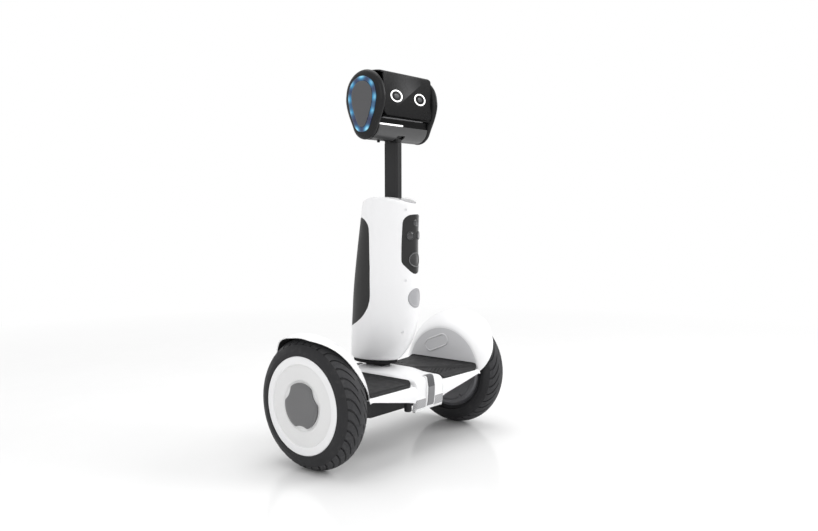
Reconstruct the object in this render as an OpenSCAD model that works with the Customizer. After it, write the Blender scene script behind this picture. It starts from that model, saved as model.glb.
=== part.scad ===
// Two-wheel self-balancing robot car: a ride-on base with two hub-motor
// wheels, a leaning torso on a steering stem, and a display head on a
// telescopic pole. Origin on the floor below the middle of the wheel axle,
// +X along the axle to the right, -Y forwards, +Z up. Millimetres.

/* [Wheels] */
// Outer diameter of the tyre
wheel_d = 267; // [265:0.5:268]
// Distance from the middle of the car to the middle of a tyre
track_half = 238.4; // [238:0.1:239]
// Radius of the round tyre section
tyre_section_r = 33.7; // [33:0.1:33.8]
// Radius of the white hub cover
hub_cover_r = 98.5; // [90:0.5:98.5]
// Radius of the raised step on the hub cover
hub_step_r = 81; // [60:1:88]
// Radius of the three-lobed hub cap
hub_cap_r = 46; // [36:1:52]
// Radius of the fixed wheel axle
axle_r = 8; // [8:0.5:8]
// Running clearance of the bearings
running_gap = 0.05; // [0.02:0.01:0.08]

/* [Base] */
// Height of the flat part of the deck
deck_z = 147.2; // [146:0.2:148]
// Front and rear reach of the deck
deck_y = 104; // [100:1:105]
// Height of the belly cover above the floor
belly_z = 85; // [82:1:88]
// Thickness of the plastic covers
skin = 3; // [2:0.5:3]
// Half width of the spine between the foot mats
spine_half = 45; // [44:0.5:46]
// Thickness of a foot mat
mat_t = 4.6; // [3:0.2:5]
// Travel of a foot mat when stepped on
mat_travel = 1.2; // [0.8:0.1:1.2]

/* [Fenders] */
// Position of the inner wall of a fender
fender_x = 190; // [189.5:0.1:190.5]
// Radius where the fender starts to turn out over the tyre
fender_wall_r = 104; // [102:0.5:104]
// Crown radius of the fender
fender_crown_r = 142; // [141.5:0.1:142]
// Wall thickness of the fender
fender_t = 2; // [1.6:0.1:2]

/* [Torso] */
// Height of the torso rim at the pole
torso_top_z = 546; // [544:1:548]
// Height of the torso's lower edge
torso_low_z = 187; // [186:1:190]
// Wall thickness of the torso shell
torso_t = 3; // [2.4:0.2:3.4]
// Squareness of the torso section (2 is an ellipse)
torso_n = 2.3; // [2:0.1:2.5]
// The same for the front half, which comes to a soft ridge
front_n = 1.75; // [1.6:0.05:1.8]
// Height of the steering hinge above the floor
steer_z = 130; // [129:0.5:131]
// Accessory hole spacing across the torso front
insert_dx = 46; // [40:1:48]
// Height of the upper, middle and lower accessory holes
insert_zs = [518, 367, 255]; // [240:1:530]

/* [Neck and head] */
// Pole size across and front to back
pole = [16.4, 38]; // [14:0.2:38]
// Y position of the pole's middle, negative in front of the axle
pole_y = -6.5; // [-8:0.5:-5]
// Height of the head's tilt axis
tilt_z = 698.5; // [697:0.5:700]
// Radius of the head's lower barrel, centred on the tilt axis
chin_r = 33; // [32.5:0.5:33.5]
// Radius of the head's upper round
crown_r = 52; // [51:0.5:52.5]
// Height of the middle of the upper round
crown_z = 757.5; // [756:0.5:759]
// Half width of the head over its ears
head_half = 100; // [98:1:101]
// Half width of the face plate
face_half = 80; // [74:0.2:80.2]

/* [Hidden] */
$fn = 64;
axle_z = wheel_d / 2;
tyre_ring_r = wheel_d / 2 - tyre_section_r;

white = [0.93, 0.93, 0.94];
dark = [0.2, 0.2, 0.21];
black = [0.08, 0.08, 0.09];
grey = [0.6, 0.6, 0.62];

// ---- shared shapes -------------------------------------------------------

// Puts a shape drawn about Z onto the wheel axle; local z becomes +X
module on_axle() translate([0, 0, axle_z]) rotate([0, 90, 0]) children();
// Draws a right-hand shape, or its mirror image on the left
module side(s) if (s < 0) mirror([1, 0, 0]) children(); else children();
module both_sides() for (s = [-1, 1]) side(s) children();
// Draws a front shape and its mirror image at the rear
module both_ends() for (f = [0, 1]) mirror([0, f, 0]) children();
// Turns a flat (y, z) outline into a slab between two x positions
module slab_x(x0, x1) translate([x0, 0, 0]) rotate([90, 0, 90]) linear_extrude(x1 - x0) children();
// Turns a flat (x, z) outline into a slab between two y positions
module slab_y(y0, y1) translate([0, y1, 0]) rotate([90, 0, 0]) linear_extrude(y1 - y0) children();
// Round bars along Y and along X
module tube_y(r, y0, y1, x, z)
    translate([x, y1, z]) rotate([90, 0, 0]) cylinder(r = r, h = y1 - y0);
module tube_x(r, x0, x1, y, z)
    translate([x0, y, z]) rotate([0, 90, 0]) cylinder(r = r, h = x1 - x0);

function arc(cx, cy, r, a0, a1, n = 8) = [for (i = [0:n])
    let (a = a0 + (a1 - a0) * i / n) [cx + r * cos(a), cy + r * sin(a)]];
function rounded(x0, y0, x1, y1, r, n = 6) = concat(
    arc(x1 - r, y1 - r, r, 0, 90, n), arc(x0 + r, y1 - r, r, 90, 180, n),
    arc(x0 + r, y0 + r, r, 180, 270, n), arc(x1 - r, y0 + r, r, 270, 360, n));
// Outline round two circles, one above the other, joined by their tangents
function egg(y, z_low, r_low, z_high, r_high, n = 24) =
    let (a = asin((r_high - r_low) / (z_high - z_low)))
    concat(arc(y, z_high, r_high, -a, 180 + a, n), arc(y, z_low, r_low, 180 + a, 360 - a, n));

function reversed(list) = [for (i = [len(list) - 1:-1:0]) list[i]];
// The same points on the other side of x = 0, in reverse order
function flip(points) = [for (p = reversed(points)) [-p[0], p[1]]];
function symmetric(half) = concat(half, flip(half));

// Smooth curve through a table of stations [position, value]
function span_at(table, z, i = 0) =
    (i >= len(table) - 2 || z < table[i + 1][0]) ? i : span_at(table, z, i + 1);
function slope_at(table, i) =
    let (a = max(i - 1, 0), b = min(i + 1, len(table) - 1))
    (table[b][1] - table[a][1]) / (table[b][0] - table[a][0]);
function curve_at(table, z) =
    let (i = span_at(table, z), h = table[i + 1][0] - table[i][0], u = (z - table[i][0]) / h)
    (2 * u * u * u - 3 * u * u + 1) * table[i][1]
    + (u * u * u - 2 * u * u + u) * h * slope_at(table, i)
    + (3 * u * u - 2 * u * u * u) * table[i + 1][1]
    + (u * u * u - u * u) * h * slope_at(table, i + 1);

// Closed solid through a list of rings that all have the same number of points
module loft(rings) {
    count = len(rings[0]);
    last = len(rings) - 1;
    polyhedron([for (ring = rings) each ring], concat(
        [[for (i = [0:count - 1]) i]],
        [[for (i = [count - 1:-1:0]) last * count + i]],
        [for (j = [0:last - 1], i = [0:count - 1])
            let (near = j * count, far = near + count, next = (i + 1) % count)
            each [[near + i, far + i, far + next], [near + i, far + next, near + next]]]));
}

// ---- wheels --------------------------------------------------------------
// The turned outlines are lists of [radius, x]

module tyre(s) color(dark) side(s) on_axle() rotate_extrude() polygon(concat(
    arc(tyre_ring_r, track_half, tyre_section_r, -90, 90, 16),
    [[hub_cover_r + 0.6, track_half + tyre_section_r], [hub_cover_r + 0.6, 266],
        [92, 264], [92, 259.8], [84.05, 259.8], [84.05, 253], [88, 253]],
    arc(tyre_ring_r + 4, track_half, 21, 120, -120, 12),
    [[88, 223.8], [84.05, 223.8], [84.05, 217], [92, 217], [92, 213], [99, 211],
        [99, track_half - tyre_section_r]]));

module rim(s) color([0.25, 0.25, 0.26]) side(s) on_axle() rotate_extrude() polygon([
    [68, 213.6], [91, 213.6], [91, 216.8], [84, 216.8], [84, 260], [91, 260], [91, 263.3],
    [16, 263.3], [16, 249.5], [22, 249.5], [24, 257], [64, 257], [68, 254]]);

module motor_cover(s) color([0.22, 0.22, 0.23]) side(s) on_axle() difference() {
    rotate_extrude() polygon([
        [16, 205], [28, 205], [31, 207], [58, 207.4], [61, 208.6], [84, 208.6],
        [88, 210.5], [88, 213.5], [24, 213.5], [22, 219], [16, 219]]);
    // Six screw holes
    for (a = [0:60:300]) rotate(a) translate([74, 0, 200]) cylinder(r = 2.2, h = 20);
}

module wheel_bearings(s) color([0.75, 0.75, 0.77]) side(s) on_axle()
    for (x = [206, 250.5]) translate([0, 0, x]) difference() {
        cylinder(r = 15.95, h = 11);
        translate([0, 0, -1]) cylinder(r = axle_r + running_gap, h = 13);
    }

module hub_cover(s) color(white) side(s) on_axle() rotate_extrude() polygon(concat(
    [[70, 263.4], [78, 263.4], [78, 266.6], [hub_cover_r, 266.6]],
    arc(hub_cover_r - 2.5, 269.3, 2.5, 0, 90, 5),
    [[hub_step_r, 271.8], [hub_step_r - 0.8, 270.8], [50, 270.8], [48, 270],
        [20, 270], [20, 266.6], [70, 266.6]]));

module hub_cap(s) color([0.42, 0.42, 0.43]) side(s) on_axle() difference() {
    union() {
        translate([0, 0, 270.1]) cylinder(r = hub_cap_r - 1, h = 2);
        translate([0, 0, 272.1]) cylinder(r1 = hub_cap_r - 1, r2 = hub_cap_r - 5, h = 2.4);
        translate([0, 0, 264.5]) cylinder(r = 19.8, h = 6);
    }
    // Three scoops leave the lobes
    for (a = [0:120:240])
        rotate(a) translate([hub_cap_r + 22, 0, 270.1]) cylinder(r1 = 30, r2 = 34, h = 5);
}

// ---- fixed axle parts ----------------------------------------------------

clamp_x = [154, 185];
clamp_y = 22;
clamp_low_z = 118.5;
// One stator tooth and the slot after it: [angle, radius]
stator_tooth = [[0, 64], [5, 64], [7, 40], [18, 40]];

module axle_shafts() color([0.7, 0.7, 0.72]) both_sides() tube_x(axle_r, 152, 262, 0, axle_z);

module axle_clamps() color([0.55, 0.55, 0.57]) both_sides() difference() {
    slab_x(clamp_x[0], clamp_x[1]) polygon(rounded(-clamp_y, clamp_low_z, clamp_y, 143, 4));
    tube_x(axle_r, 150, 190, 0, axle_z);
    for (x = [160, 179], y = [-16, 16]) translate([x, y, 110]) cylinder(r = 2.5, h = 40);
}

module motor_stators() color([0.72, 0.42, 0.2]) both_sides() on_axle()
    translate([0, 0, 224]) linear_extrude(22) difference() {
        polygon([for (i = [0:17], corner = stator_tooth)
            let (a = i * 20 + corner[0]) corner[1] * [cos(a), sin(a)]]);
        circle(r = axle_r);
    }

// ---- chassis and what it carries -----------------------------------------

bearing_r = 13;
stem_r = 9;

module at_belly_screws(z) for (x = [-143, 143], y = [-36, 86]) translate([x, y, z]) children();
module at_mat_switches(z)
    for (s = [-1, 1], x = [84, 150], y = [-60, 60]) translate([s * x, y, z]) children();

module chassis_frame() color([0.17, 0.17, 0.18]) difference() {
    union() {
        slab_y(-46, 96) polygon(symmetric([[-186, 143.4], [-186, 118], [-150, 99], [-120, 91]]));
        // Front shelf under the deck
        slab_y(-92, -46) polygon(symmetric([[-186, 143.4], [-186, 139], [-60, 122]]));
    }
    // Battery and electronics bay, open below
    translate([-138, -41, 80]) cube([276, 132, 34]);
    both_sides() translate([34, -41, 110]) cube([104, 132, 26]);
    // Steering bay with two bearing walls
    for (y = [[-40, -12.5], [0.5, 79.5], [92.5, 99]])
        translate([-26, y[0], 108]) cube([52, y[1] - y[0], 50]);
    tube_y(bearing_r, -20, 110, 0, steer_z);
    translate([-bearing_r, -13, steer_z]) cube([2 * bearing_r, 110, 30]);
    // Clamp seats
    both_sides() {
        translate([clamp_x[0] - 0.1, -clamp_y - 0.1, clamp_low_z - 0.1])
            cube([33, 2 * clamp_y + 0.2, 30]);
        tube_x(axle_r + 0.5, 130, 160, 0, axle_z);
    }
    // Pockets for the rear mounting posts
    both_sides() translate([45.5, 83.5, 80]) cube([17, 20, 42]);
    at_belly_screws(80) cylinder(r = 2, h = 40);
}

module belly_cover() color([0.13, 0.13, 0.14]) difference() {
    slab_y(-44, 94) polygon(symmetric([[118, belly_z], [150, belly_z + 8.4],
        [150, belly_z + 13.4], [119.5, belly_z + 5.6]]));
    at_belly_screws(80) cylinder(r = 2.2, h = 30);
    // Row of grooves in the underside
    for (x = [-100:20:100]) translate([x - 2, 20, belly_z - 1]) cube([4, 50, 2]);
}

module belly_screws() color([0.5, 0.5, 0.52]) at_belly_screws(belly_z + 1) {
    cylinder(r = 1.9, h = 30);
    cylinder(r = 4, h = 4.3);
}

module battery_pack() color([0.15, 0.3, 0.6]) translate([-112, -36, 92]) cube([224, 118, 18]);

module motor_controller() color([0.1, 0.4, 0.2]) {
    translate([44, -32, 114.2]) cube([88, 112, 1.6]);
    for (y = [-20:20:60]) translate([56, y, 115.8]) cube([60, 12, 9]);
}

module steering_bearings() color([0.75, 0.6, 0.3]) for (y = [-12.4, 80]) difference() {
    tube_y(bearing_r, y, y + 12, 0, steer_z);
    tube_y(stem_r + running_gap, y - 1, y + 13, 0, steer_z);
}

module steering_stops() color([0.12, 0.12, 0.12])
    both_sides() translate([16.7, 20, 134]) cube([9.3, 40, 8]);

module mat_switches() color([0.3, 0.3, 0.32]) at_mat_switches(143.6) cylinder(r = 7.5, h = 3.6);

// ---- deck and foot mats --------------------------------------------------

// The deck curls up beside the spine and beside the fenders
curl_r = 22;
curl_reach = 18;
curl_xs = [50, 53, 57, 61, 66, 90, 130, 171, 176, 180, 184, 187];
deck_xs = concat([spine_half + 2], curl_xs, [189.4]);
mat_xs = concat(curl_xs, [188.4]);
deck_slab_y = deck_y - 3;
// Height of a mat's underside over the deck
mat_gap = mat_travel + 0.2;
// Outside of the deck's front wall: [y, z]
wall_points = [[-101, 147.2], [-105, 146.2], [-108, 143], [-109.4, 138], [-109.6, 128],
    [-108, 116], [-105, 106]];
// Region the deck's end walls keep, arched between nose and fender: [x, z]
wall_arch = [[44, 160], [44, 109.5], [53, 114], [74, 119], [98, 123.5], [121, 128],
    [142, 132], [162, 136], [190, 141], [190, 160]];

function lift(d) =
    d <= 0 ? 0 : curl_r - sqrt(curl_r * curl_r - min(d, curl_reach) * min(d, curl_reach));
function deck_h(x) = deck_z + lift(66 - x) + lift(x - 171);
// Outline that follows the deck between two heights over it
function deck_layer(xs, low, high) = concat(
    [for (x = xs) [x, deck_h(x) + high]], [for (x = reversed(xs)) [x, deck_h(x) + low]]);
function wall_line(inset) = [for (p = wall_points) [p[0] + inset, p[1] - inset * 0.6]];

module deck_cover() color(white) difference() {
    union() {
        both_sides() slab_y(-deck_slab_y, deck_slab_y) polygon(deck_layer(deck_xs, -skin, 0));
        translate([-spine_half - 2.05, -deck_slab_y, deck_z - skin])
            cube([2 * spine_half + 4.1, 2 * deck_slab_y, skin]);
        // Front and rear walls
        both_ends() both_sides() intersection() {
            slab_x(spine_half + 0.4, 189.4)
                polygon(concat(wall_line(0), reversed(wall_line(skin))));
            slab_y(-112, -90) polygon(wall_arch);
        }
    }
    // Stem opening and switch openings
    translate([-25, 2, 130]) cube([50, 76, 30]);
    at_mat_switches(140) cylinder(r = 8.5, h = 12);
    // Charge port opening in the rear wall
    tube_y(port_r, 101, 116, port_x, port_z);
}

module footmat(s) color([0.24, 0.24, 0.25]) side(s) intersection() {
    slab_y(-104, 104) polygon(deck_layer(mat_xs, mat_gap, mat_gap + mat_t));
    translate([0, 0, 140]) linear_extrude(60) polygon(rounded(49, -103, 189, 103, 16));
}

// ---- charge port in the rear wall ----------------------------------------

port_r = 10.6;
port_x = -96;
port_z = 135;
hinge_r = 1.6;
hinge_y = 111.6;
hinge_z = 149.2;

module charge_port() color([0.3, 0.3, 0.31]) {
    difference() {
        tube_y(port_r, 101.5, 107.6, port_x, port_z);
        tube_y(8, 103, 110, port_x, port_z);
    }
    // Lugs that hold the flap's hinge pin
    for (x = [-105, -90]) difference() {
        slab_x(x, x + 3) polygon(rounded(106, 146.9, 113.9, 151.5, 2.2));
        tube_x(hinge_r + running_gap, x - 1, x + 4, hinge_y, hinge_z);
    }
}

module charge_flap() color([0.18, 0.18, 0.19]) union() {
    tube_y(13.2, 109.9, 112.2, port_x, port_z);
    tube_x(hinge_r, -105, -87, hinge_y, hinge_z);
    translate([-101, 110.2, 144]) cube([10, 2, 5]);
}

// ---- spine and nose ------------------------------------------------------

// Height of the spine's edges, where its round top starts
spine_edge_z = 152;
spine_ys = concat([-109, -108, -106.5, -104.5, -102, -99, -95],
    [for (i = [0:22]) -89 + i * 195 / 22]);
// Sections of the nose wall, the nose band and a lens, at the front: [y, z]
nose_wall = [[-103.5, 151], [-108.7, 151.3], [-108.9, 148], [-108.9, 138], [-108.4, 118],
    [-106.5, 96], [-104.5, 93.2], [-98, 92.9], [-98, 95.6], [-103, 96], [-105.2, 118],
    [-105.9, 140], [-105.9, 148], [-103.5, 150]];
nose_band_points = [[-97, 165.3], [-103, 166], [-107, 165.2], [-110, 162], [-114.6, 142],
    [-113.5, 118], [-110.5, 103], [-107, 100], [-108.6, 118], [-109, 138], [-109.1, 151.6],
    [-108, 154.4], [-106.5, 157], [-104.5, 159.5], [-102, 161.6], [-99, 163], [-97, 163.5]];
lens_points = [[-111, 118], [-111.6, 108], [-109.5, 98], [-104, 98], [-104, 118]];
lens_x = [18, 42.5];

// Height of the spine's ridge: a low hump that runs down into the nose
function spine_top(y) =
    y < -89 ? 163.5 - pow((-89 - y) / 20, 4) * 12
    : y < -54 ? 163.5 + (y + 89) * 2 / 35
    : y < -30 ? 165.5 + (y + 54) * 5.5 / 24
    : y < 60 ? 171
    : 171 - pow((y - 60) / 46, 2) * 14;

// The solid spine, or the smaller solid that hollows it
module spine_loft(inset = 0, stretch = 1, foot_z = 147.3, steps = 14) {
    half = spine_half - inset;
    loft([for (y = spine_ys) concat(
        [[-half, y * stretch, foot_z]],
        [for (i = [0:steps]) let (a = 180 - 180 * i / steps) [half * cos(a), y * stretch,
            spine_edge_z - inset + (spine_top(y) - spine_edge_z) * pow(abs(sin(a)), 0.4)]],
        [[half, y * stretch, foot_z]])]);
}

module spine_cover() color(white) resize([0, 0, 0]) difference() {
    union() {
        spine_loft();
        // Nose wall and lip under each end of the spine
        both_ends() slab_x(-spine_half, spine_half) polygon(nose_wall);
    }
    spine_loft(inset = 2.6, stretch = 0.975, foot_z = 140);
    // Windows for the light lenses
    both_ends() both_sides() slab_x(lens_x[0] - 0.2, lens_x[1] + 0.2)
        polygon([[-118, 118.3], [-118, 97.7], [-103.4, 97.7], [-103.4, 118.3]]);
    // Room for the mounting posts and the middle of the chassis
    both_ends() translate([-34, -93, 80]) cube([68, 40, 20]);
    // Opening for the steering stem
    translate([-24.6, 6, 150]) cube([49.2, 68, 40]);
}

// Grey band down the middle of the nose, front and rear
module nose_band() color([0.45, 0.45, 0.46])
    both_ends() slab_x(-10.4, 10.4) polygon(nose_band_points);

module lens_pair() both_sides() slab_x(lens_x[0], lens_x[1]) polygon(lens_points);
module headlight_lenses() color([0.7, 0.7, 0.72]) lens_pair();
module tail_light() color([0.75, 0.1, 0.1]) mirror([0, 1, 0]) lens_pair();

module nose_posts() color([0.2, 0.2, 0.21]) both_ends() both_sides() difference() {
    union() {
        translate([54, -92, 94]) cylinder(r = 8, h = 28);
        translate([46, -92, 96]) cube([9, 8, 26]);
    }
    translate([54, -92, 90]) cylinder(r = 3, h = 12);
}

// ---- fenders -------------------------------------------------------------

fender_crown_x = 255;
// Side region the fender keeps, cut along its lower edge: [x, z]
fender_window = [[180, 143], [190.5, 143], [201, 157], [216, 178], [224, 190.3],
    [231, 203.6], [236.5, 214], [241.5, 225.7], [253, 245.3], [265, 259.2], [275, 267],
    [275, 300], [180, 300]];

// Sweep from the flat wall out to the crown, inset by t: [radius, x]
function fender_sweep(t, steps = 11) =
    let (rise = fender_crown_r - fender_wall_r - t, reach = fender_crown_x - fender_x - t)
    [for (i = [0:steps]) let (c = cos(90 * i / steps))
        [fender_wall_r + rise * pow(1 - pow(c, 1.5), 1 / 1.5), fender_crown_x - reach * c]];

module fender(s) color(white) side(s) intersection() {
    on_axle() rotate_extrude() polygon(concat(
        [[6, fender_x], [97, fender_x]],
        fender_sweep(0),
        // Outer lip
        [[fender_crown_r - 0.4, 262], [fender_crown_r - 1.6, 269],
            [fender_crown_r - 3.4, 274.8], [fender_crown_r - 5.2, 274],
            [fender_crown_r - fender_t - 1.6, 268], [fender_crown_r - fender_t - 0.4, 262]],
        reversed(fender_sweep(fender_t)),
        [[97, fender_x + fender_t], [6, fender_x + fender_t]]));
    slab_y(-150, 150) polygon(fender_window);
}

// Thin plates on the inner faces of the fenders
module fender_lights() color([0.67, 0.67, 0.68]) both_sides() intersection() {
    tube_x(101.5, fender_x - 1, fender_x - 0.05, 0, axle_z);
    translate([180, -110, 162]) cube([20, 220, 110]);
}

// ---- torso shape ---------------------------------------------------------

// Torso section by height: half width, and the y of its widest line, front and back: [z, value]
half_width = [[186, 44], [196, 48], [216, 52.5], [239, 56], [261, 58], [290, 58.5],
    [330, 58], [370, 57], [440, 55], [500, 53.3], [550, 51]];
widest_y = [[186, 48.4], [196, 43.1], [216, 33.9], [239, 26.7], [261, 21.9], [290, 17.8],
    [330, 15.6], [370, 13.8], [440, 9.5], [500, 3.7], [550, -1]];
front_y = [[186, -15], [196, -25.3], [216, -42.3], [239, -55.4], [261, -63.6], [290, -69.9],
    [330, -71.7], [370, -70.9], [440, -69.4], [500, -71.2], [550, -71.3]];
back_y = [[186, 105.6], [216, 102.7], [261, 99.3], [290, 97.2], [330, 94.7], [370, 90.4],
    [440, 80.6], [500, 70.9], [550, 62]];

// Right half of the front panel [x, z] and of the top window [x, y]
panel_half = [[17, 380.5], [29, 404], [29, 491], [16, 507]];
window_half = [[6, -65.2], [12, -62.4], [16.5, -57.6], [19, -52], [20, -45],
    [18, -36.5], [12, -30.5], [6, -29.2]];

fit_gap = 0.3; // round the parts let into the shell
badge_z = 328.5;
badge_r = 21;
button_z = 411;
centre_lens_z = 490;
side_lens_r = 9.4;

function signed_pow(v, p) = sign(v) * pow(abs(v), p);
function torso_point(z, a, inset) =
    let (half = curve_at(half_width, z) - inset, middle = curve_at(widest_y, z),
        front = curve_at(front_y, z) + inset, back = curve_at(back_y, z) - inset,
        ahead = sin(a) < 0, n = ahead ? front_n : torso_n)
    [half * signed_pow(cos(a), 2 / n),
        middle + (ahead ? middle - front : back - middle) * signed_pow(sin(a), 2 / n), z];

module torso_loft(inset, z0, z1, levels = 18, sides = 44)
    loft([for (j = [0:levels]) [for (i = [0:sides - 1])
        torso_point(z0 + (z1 - z0) * j / levels, 360 * i / sides, inset)]]);

// Part of the torso wall between two heights and two insets
module torso_wall(z0, z1, outer = 0, inner = torso_t, levels = 5, inner_levels = 5)
    difference() {
        torso_loft(outer, z0, z1, levels);
        torso_loft(inner, z0 - 1, z1 + 1, inner_levels, 36);
    }

// Everything below the domed top surface
module under_top(depth) slab_x(-80, 80) polygon(concat([[120, 150], [-80, 150]],
    [for (y = [-80:10:120]) [y, torso_top_z - depth - 15 * pow(y / 67, 2)]]));

// Zones of the grips, the front panel and the top window, grown by a gap
module grip_zone(grow = 0) both_sides() translate([30 - grow, 0, 0]) slab_x(0, 40) polygon([
    [11.5 - grow, 340], [13.5 - grow, 400], [16 - grow, 455], [17.5 - grow, 478],
    [25.5, 491 + grow], [45, 501.3 + grow], [120, 501 + grow], [120, 253 - grow],
    [70, 264 - grow], [40, 280 - grow], [25, 296 - grow], [15.8 - grow, 312],
    [11.7 - grow, 330]]);
module panel_zone(grow = 0) slab_y(-90, -20) polygon(symmetric(
    [for (p = panel_half) [p[0] + grow, p[1] + sign(p[1] - 440) * grow]]));
module window_zone(grow = 0) offset(delta = grow)
    polygon(concat([[0, -66]], window_half, [[0, -29]], flip(window_half)));

// Upright oval on the front ridge, and a frame square to the ridge's slanted flank
module oval(r, z, narrowing = 0.87)
    translate([0, -40, z]) rotate([90, 0, 0]) linear_extrude(50) scale([narrowing, 1]) circle(r = r);
module flank(s) translate([s * 13, -66.2, 463]) rotate([0, 0, s * 26.8]) rotate([90, 0, 0]) children();

// ---- torso shells and inlays ---------------------------------------------
// resize([0, 0, 0]) keeps every size; it only groups a node into one shape

module torso_skin() difference() {
    intersection() {
        torso_loft(0, torso_low_z, 548);
        under_top(0);
    }
    intersection() {
        torso_loft(torso_t, torso_low_z + 3, 548.5, 14, 36);
        under_top(torso_t);
    }
    // Opening for the steering stem
    translate([-16, 14, torso_low_z - 5]) cube([32, 52, 20]);
}

module torso_holes() {
    pole_gap = 0.8;
    for (x = [-insert_dx / 2, insert_dx / 2], z = insert_zs) tube_y(4.2, -80, -30, x, z);
    oval(badge_r + fit_gap, badge_z);
    translate([0, 0, 520]) linear_extrude(60) window_zone(fit_gap);
    translate([-pole[0] / 2 - pole_gap, pole_y - pole[1] / 2 - pole_gap, 500])
        cube([pole[0] + 2 * pole_gap, pole[1] + 2 * pole_gap, 60]);
    panel_zone(fit_gap);
    grip_zone(fit_gap);
}

// The torso shell between two y positions
module torso_half(y0, y1) color(white) resize([0, 0, 0]) difference() {
    intersection() {
        torso_skin();
        translate([-100, y0, 150]) cube([200, y1 - y0, 420]);
    }
    torso_holes();
}
module torso_front_shell() torso_half(-100, 7.8);
module torso_rear_shell() torso_half(8, 158);

module side_grips() color(dark) resize([0, 0, 0]) intersection() {
    torso_wall(240, 520, levels = 14, inner_levels = 10);
    grip_zone();
}

module front_panel() color(black) resize([0, 0, 0]) difference() {
    intersection() {
        torso_wall(370, 520, levels = 6);
        panel_zone();
    }
    oval(16.7, button_z, 1);
    oval(8.4, centre_lens_z);
    for (s = [-1, 1]) flank(s) translate([0, 0, -7]) cylinder(r = side_lens_r + 0.2, h = 14);
}

module camera_lenses() color([0.12, 0.12, 0.14]) resize([0, 0, 0]) union() {
    for (s = [-1, 1]) flank(s) difference() {
        translate([0, 0, -6]) cylinder(r = side_lens_r, h = 6.4);
        cylinder(r1 = 5.6, r2 = 7.2, h = 1.2);
    }
    intersection() {
        torso_wall(478, 502, 0.3, 4);
        oval(8.2, centre_lens_z);
    }
}

module badge_disc() color(grey) resize([0, 0, 0]) intersection() {
    torso_wall(300, 358, 0.2, 4);
    oval(badge_r, badge_z);
}

module power_button() color([0.14, 0.14, 0.15]) resize([0, 0, 0]) intersection() {
    torso_wall(390, 432, -0.2, 7);
    oval(16.3, button_z, 1);
}

module top_window() color(grey) resize([0, 0, 0]) intersection() {
    difference() {
        under_top(0);
        under_top(torso_t);
    }
    translate([0, 0, 515]) linear_extrude(40) window_zone();
}

module accessory_inserts() color([0.7, 0.6, 0.35]) {
    // Front and back ends of the upper, middle and lower inserts
    ends = [[-56, -43], [-56, -42], [-50.2, -36]];
    for (x = [-insert_dx / 2, insert_dx / 2], i = [0:2]) difference() {
        tube_y(4, ends[i][0], ends[i][1], x, insert_zs[i]);
        tube_y(2.5, ends[i][0] - 1, ends[i][1] + 1, x, insert_zs[i]);
    }
}

// ---- inside the torso ----------------------------------------------------

module steering_stem() color([0.15, 0.15, 0.16]) difference() {
    union() {
        tube_y(stem_r, -14, 94, 0, steer_z);
        tube_y(15, 3, 77, 0, steer_z);
        translate([-14, 16, steer_z]) cube([28, 48, 74]);
        // Drum that keeps the spine's opening closed as the torso leans
        intersection() {
            difference() {
                tube_y(38, 9, 71, 0, steer_z);
                tube_y(35.5, 8, 72, 0, steer_z);
            }
            slab_y(0, 90)
                polygon([[0, steer_z + 8], [-33, 162], [-33, 180], [33, 180], [33, 162]]);
        }
        // Fin below the hinge
        translate([-3, 16, 112.5]) cube([6, 48, 20]);
        // Flange that carries the torso
        translate([-24, 4, 198]) cube([48, 72, 6]);
    }
    for (x = [-17, 17], y = [12, 68]) translate([x, y, 190]) cylinder(r = 2.5, h = 20);
    translate([-8, 26, 170]) cube([16, 28, 40]);
}

// Square sleeve for the pole, on two legs
module mast_guide() color([0.4, 0.4, 0.42]) difference() {
    union() {
        translate([-14, pole_y - pole[1] / 2 - 5, 290]) cube([28, pole[1] + 10, 246]);
        for (x = [-22, 16]) translate([x, pole_y - 5, 204.2]) cube([6, 17, 90]);
        translate([-22, pole_y - 22, 288]) cube([44, 44, 6]);
    }
    translate([-pole[0] / 2 - fit_gap, pole_y - pole[1] / 2 - fit_gap, 294])
        cube([pole[0] + 2 * fit_gap, pole[1] + 2 * fit_gap, 260]);
}

module computer_board() color([0.1, 0.35, 0.2]) {
    translate([-32, 34, 260]) cube([64, 2, 200]);
    for (z = [280:50:430]) translate([-22, 36, z]) cube([44, 8, 34]);
}

// ---- neck ----------------------------------------------------------------

pan_shaft_r = 3;
tilt_pin_r = 4;
turret_z = 663.9;
pole_outline = rounded(-pole[0] / 2, pole_y - pole[1] / 2, pole[0] / 2, pole_y + pole[1] / 2, 4);

module neck_pole() color([0.2, 0.2, 0.2]) difference() {
    translate([0, 0, 392]) linear_extrude(271.5) polygon(pole_outline);
    translate([0, pole_y, 400]) cylinder(r = 6.6, h = 270);
    for (d = [-13, 13]) translate([0, pole_y + d, 400]) cylinder(r = 4.6, h = 255);
}

module pan_motor() color([0.5, 0.5, 0.52]) difference() {
    translate([0, pole_y, 610]) cylinder(r = 6.5, h = 45.8);
    translate([0, pole_y, 640]) cylinder(r = pan_shaft_r + running_gap, h = 20);
}

// Swivelling turret with the fixed drum that fills the chin's slot
module pan_turret() color([0.16, 0.16, 0.17]) union() {
    translate([0, pole_y, 641]) cylinder(r = pan_shaft_r, h = 24);
    translate([0, pole_y, turret_z]) cylinder(r = 8, h = 14);
    // Saddle that carries the pole's outline up to the chin
    difference() {
        translate([0, 0, turret_z]) linear_extrude(8) polygon(pole_outline);
        tube_x(chin_r + 0.6, -20, 20, pole_y, tilt_z);
    }
    tube_x(28.6, -11.4, 11.4, pole_y, tilt_z);
    tube_x(tilt_pin_r, -40, 40, pole_y, tilt_z);
}

// ---- head ----------------------------------------------------------------

shell_half = 80.5;
head_split_y = pole_y - 10;
face_z = [714.6, 804];
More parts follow.
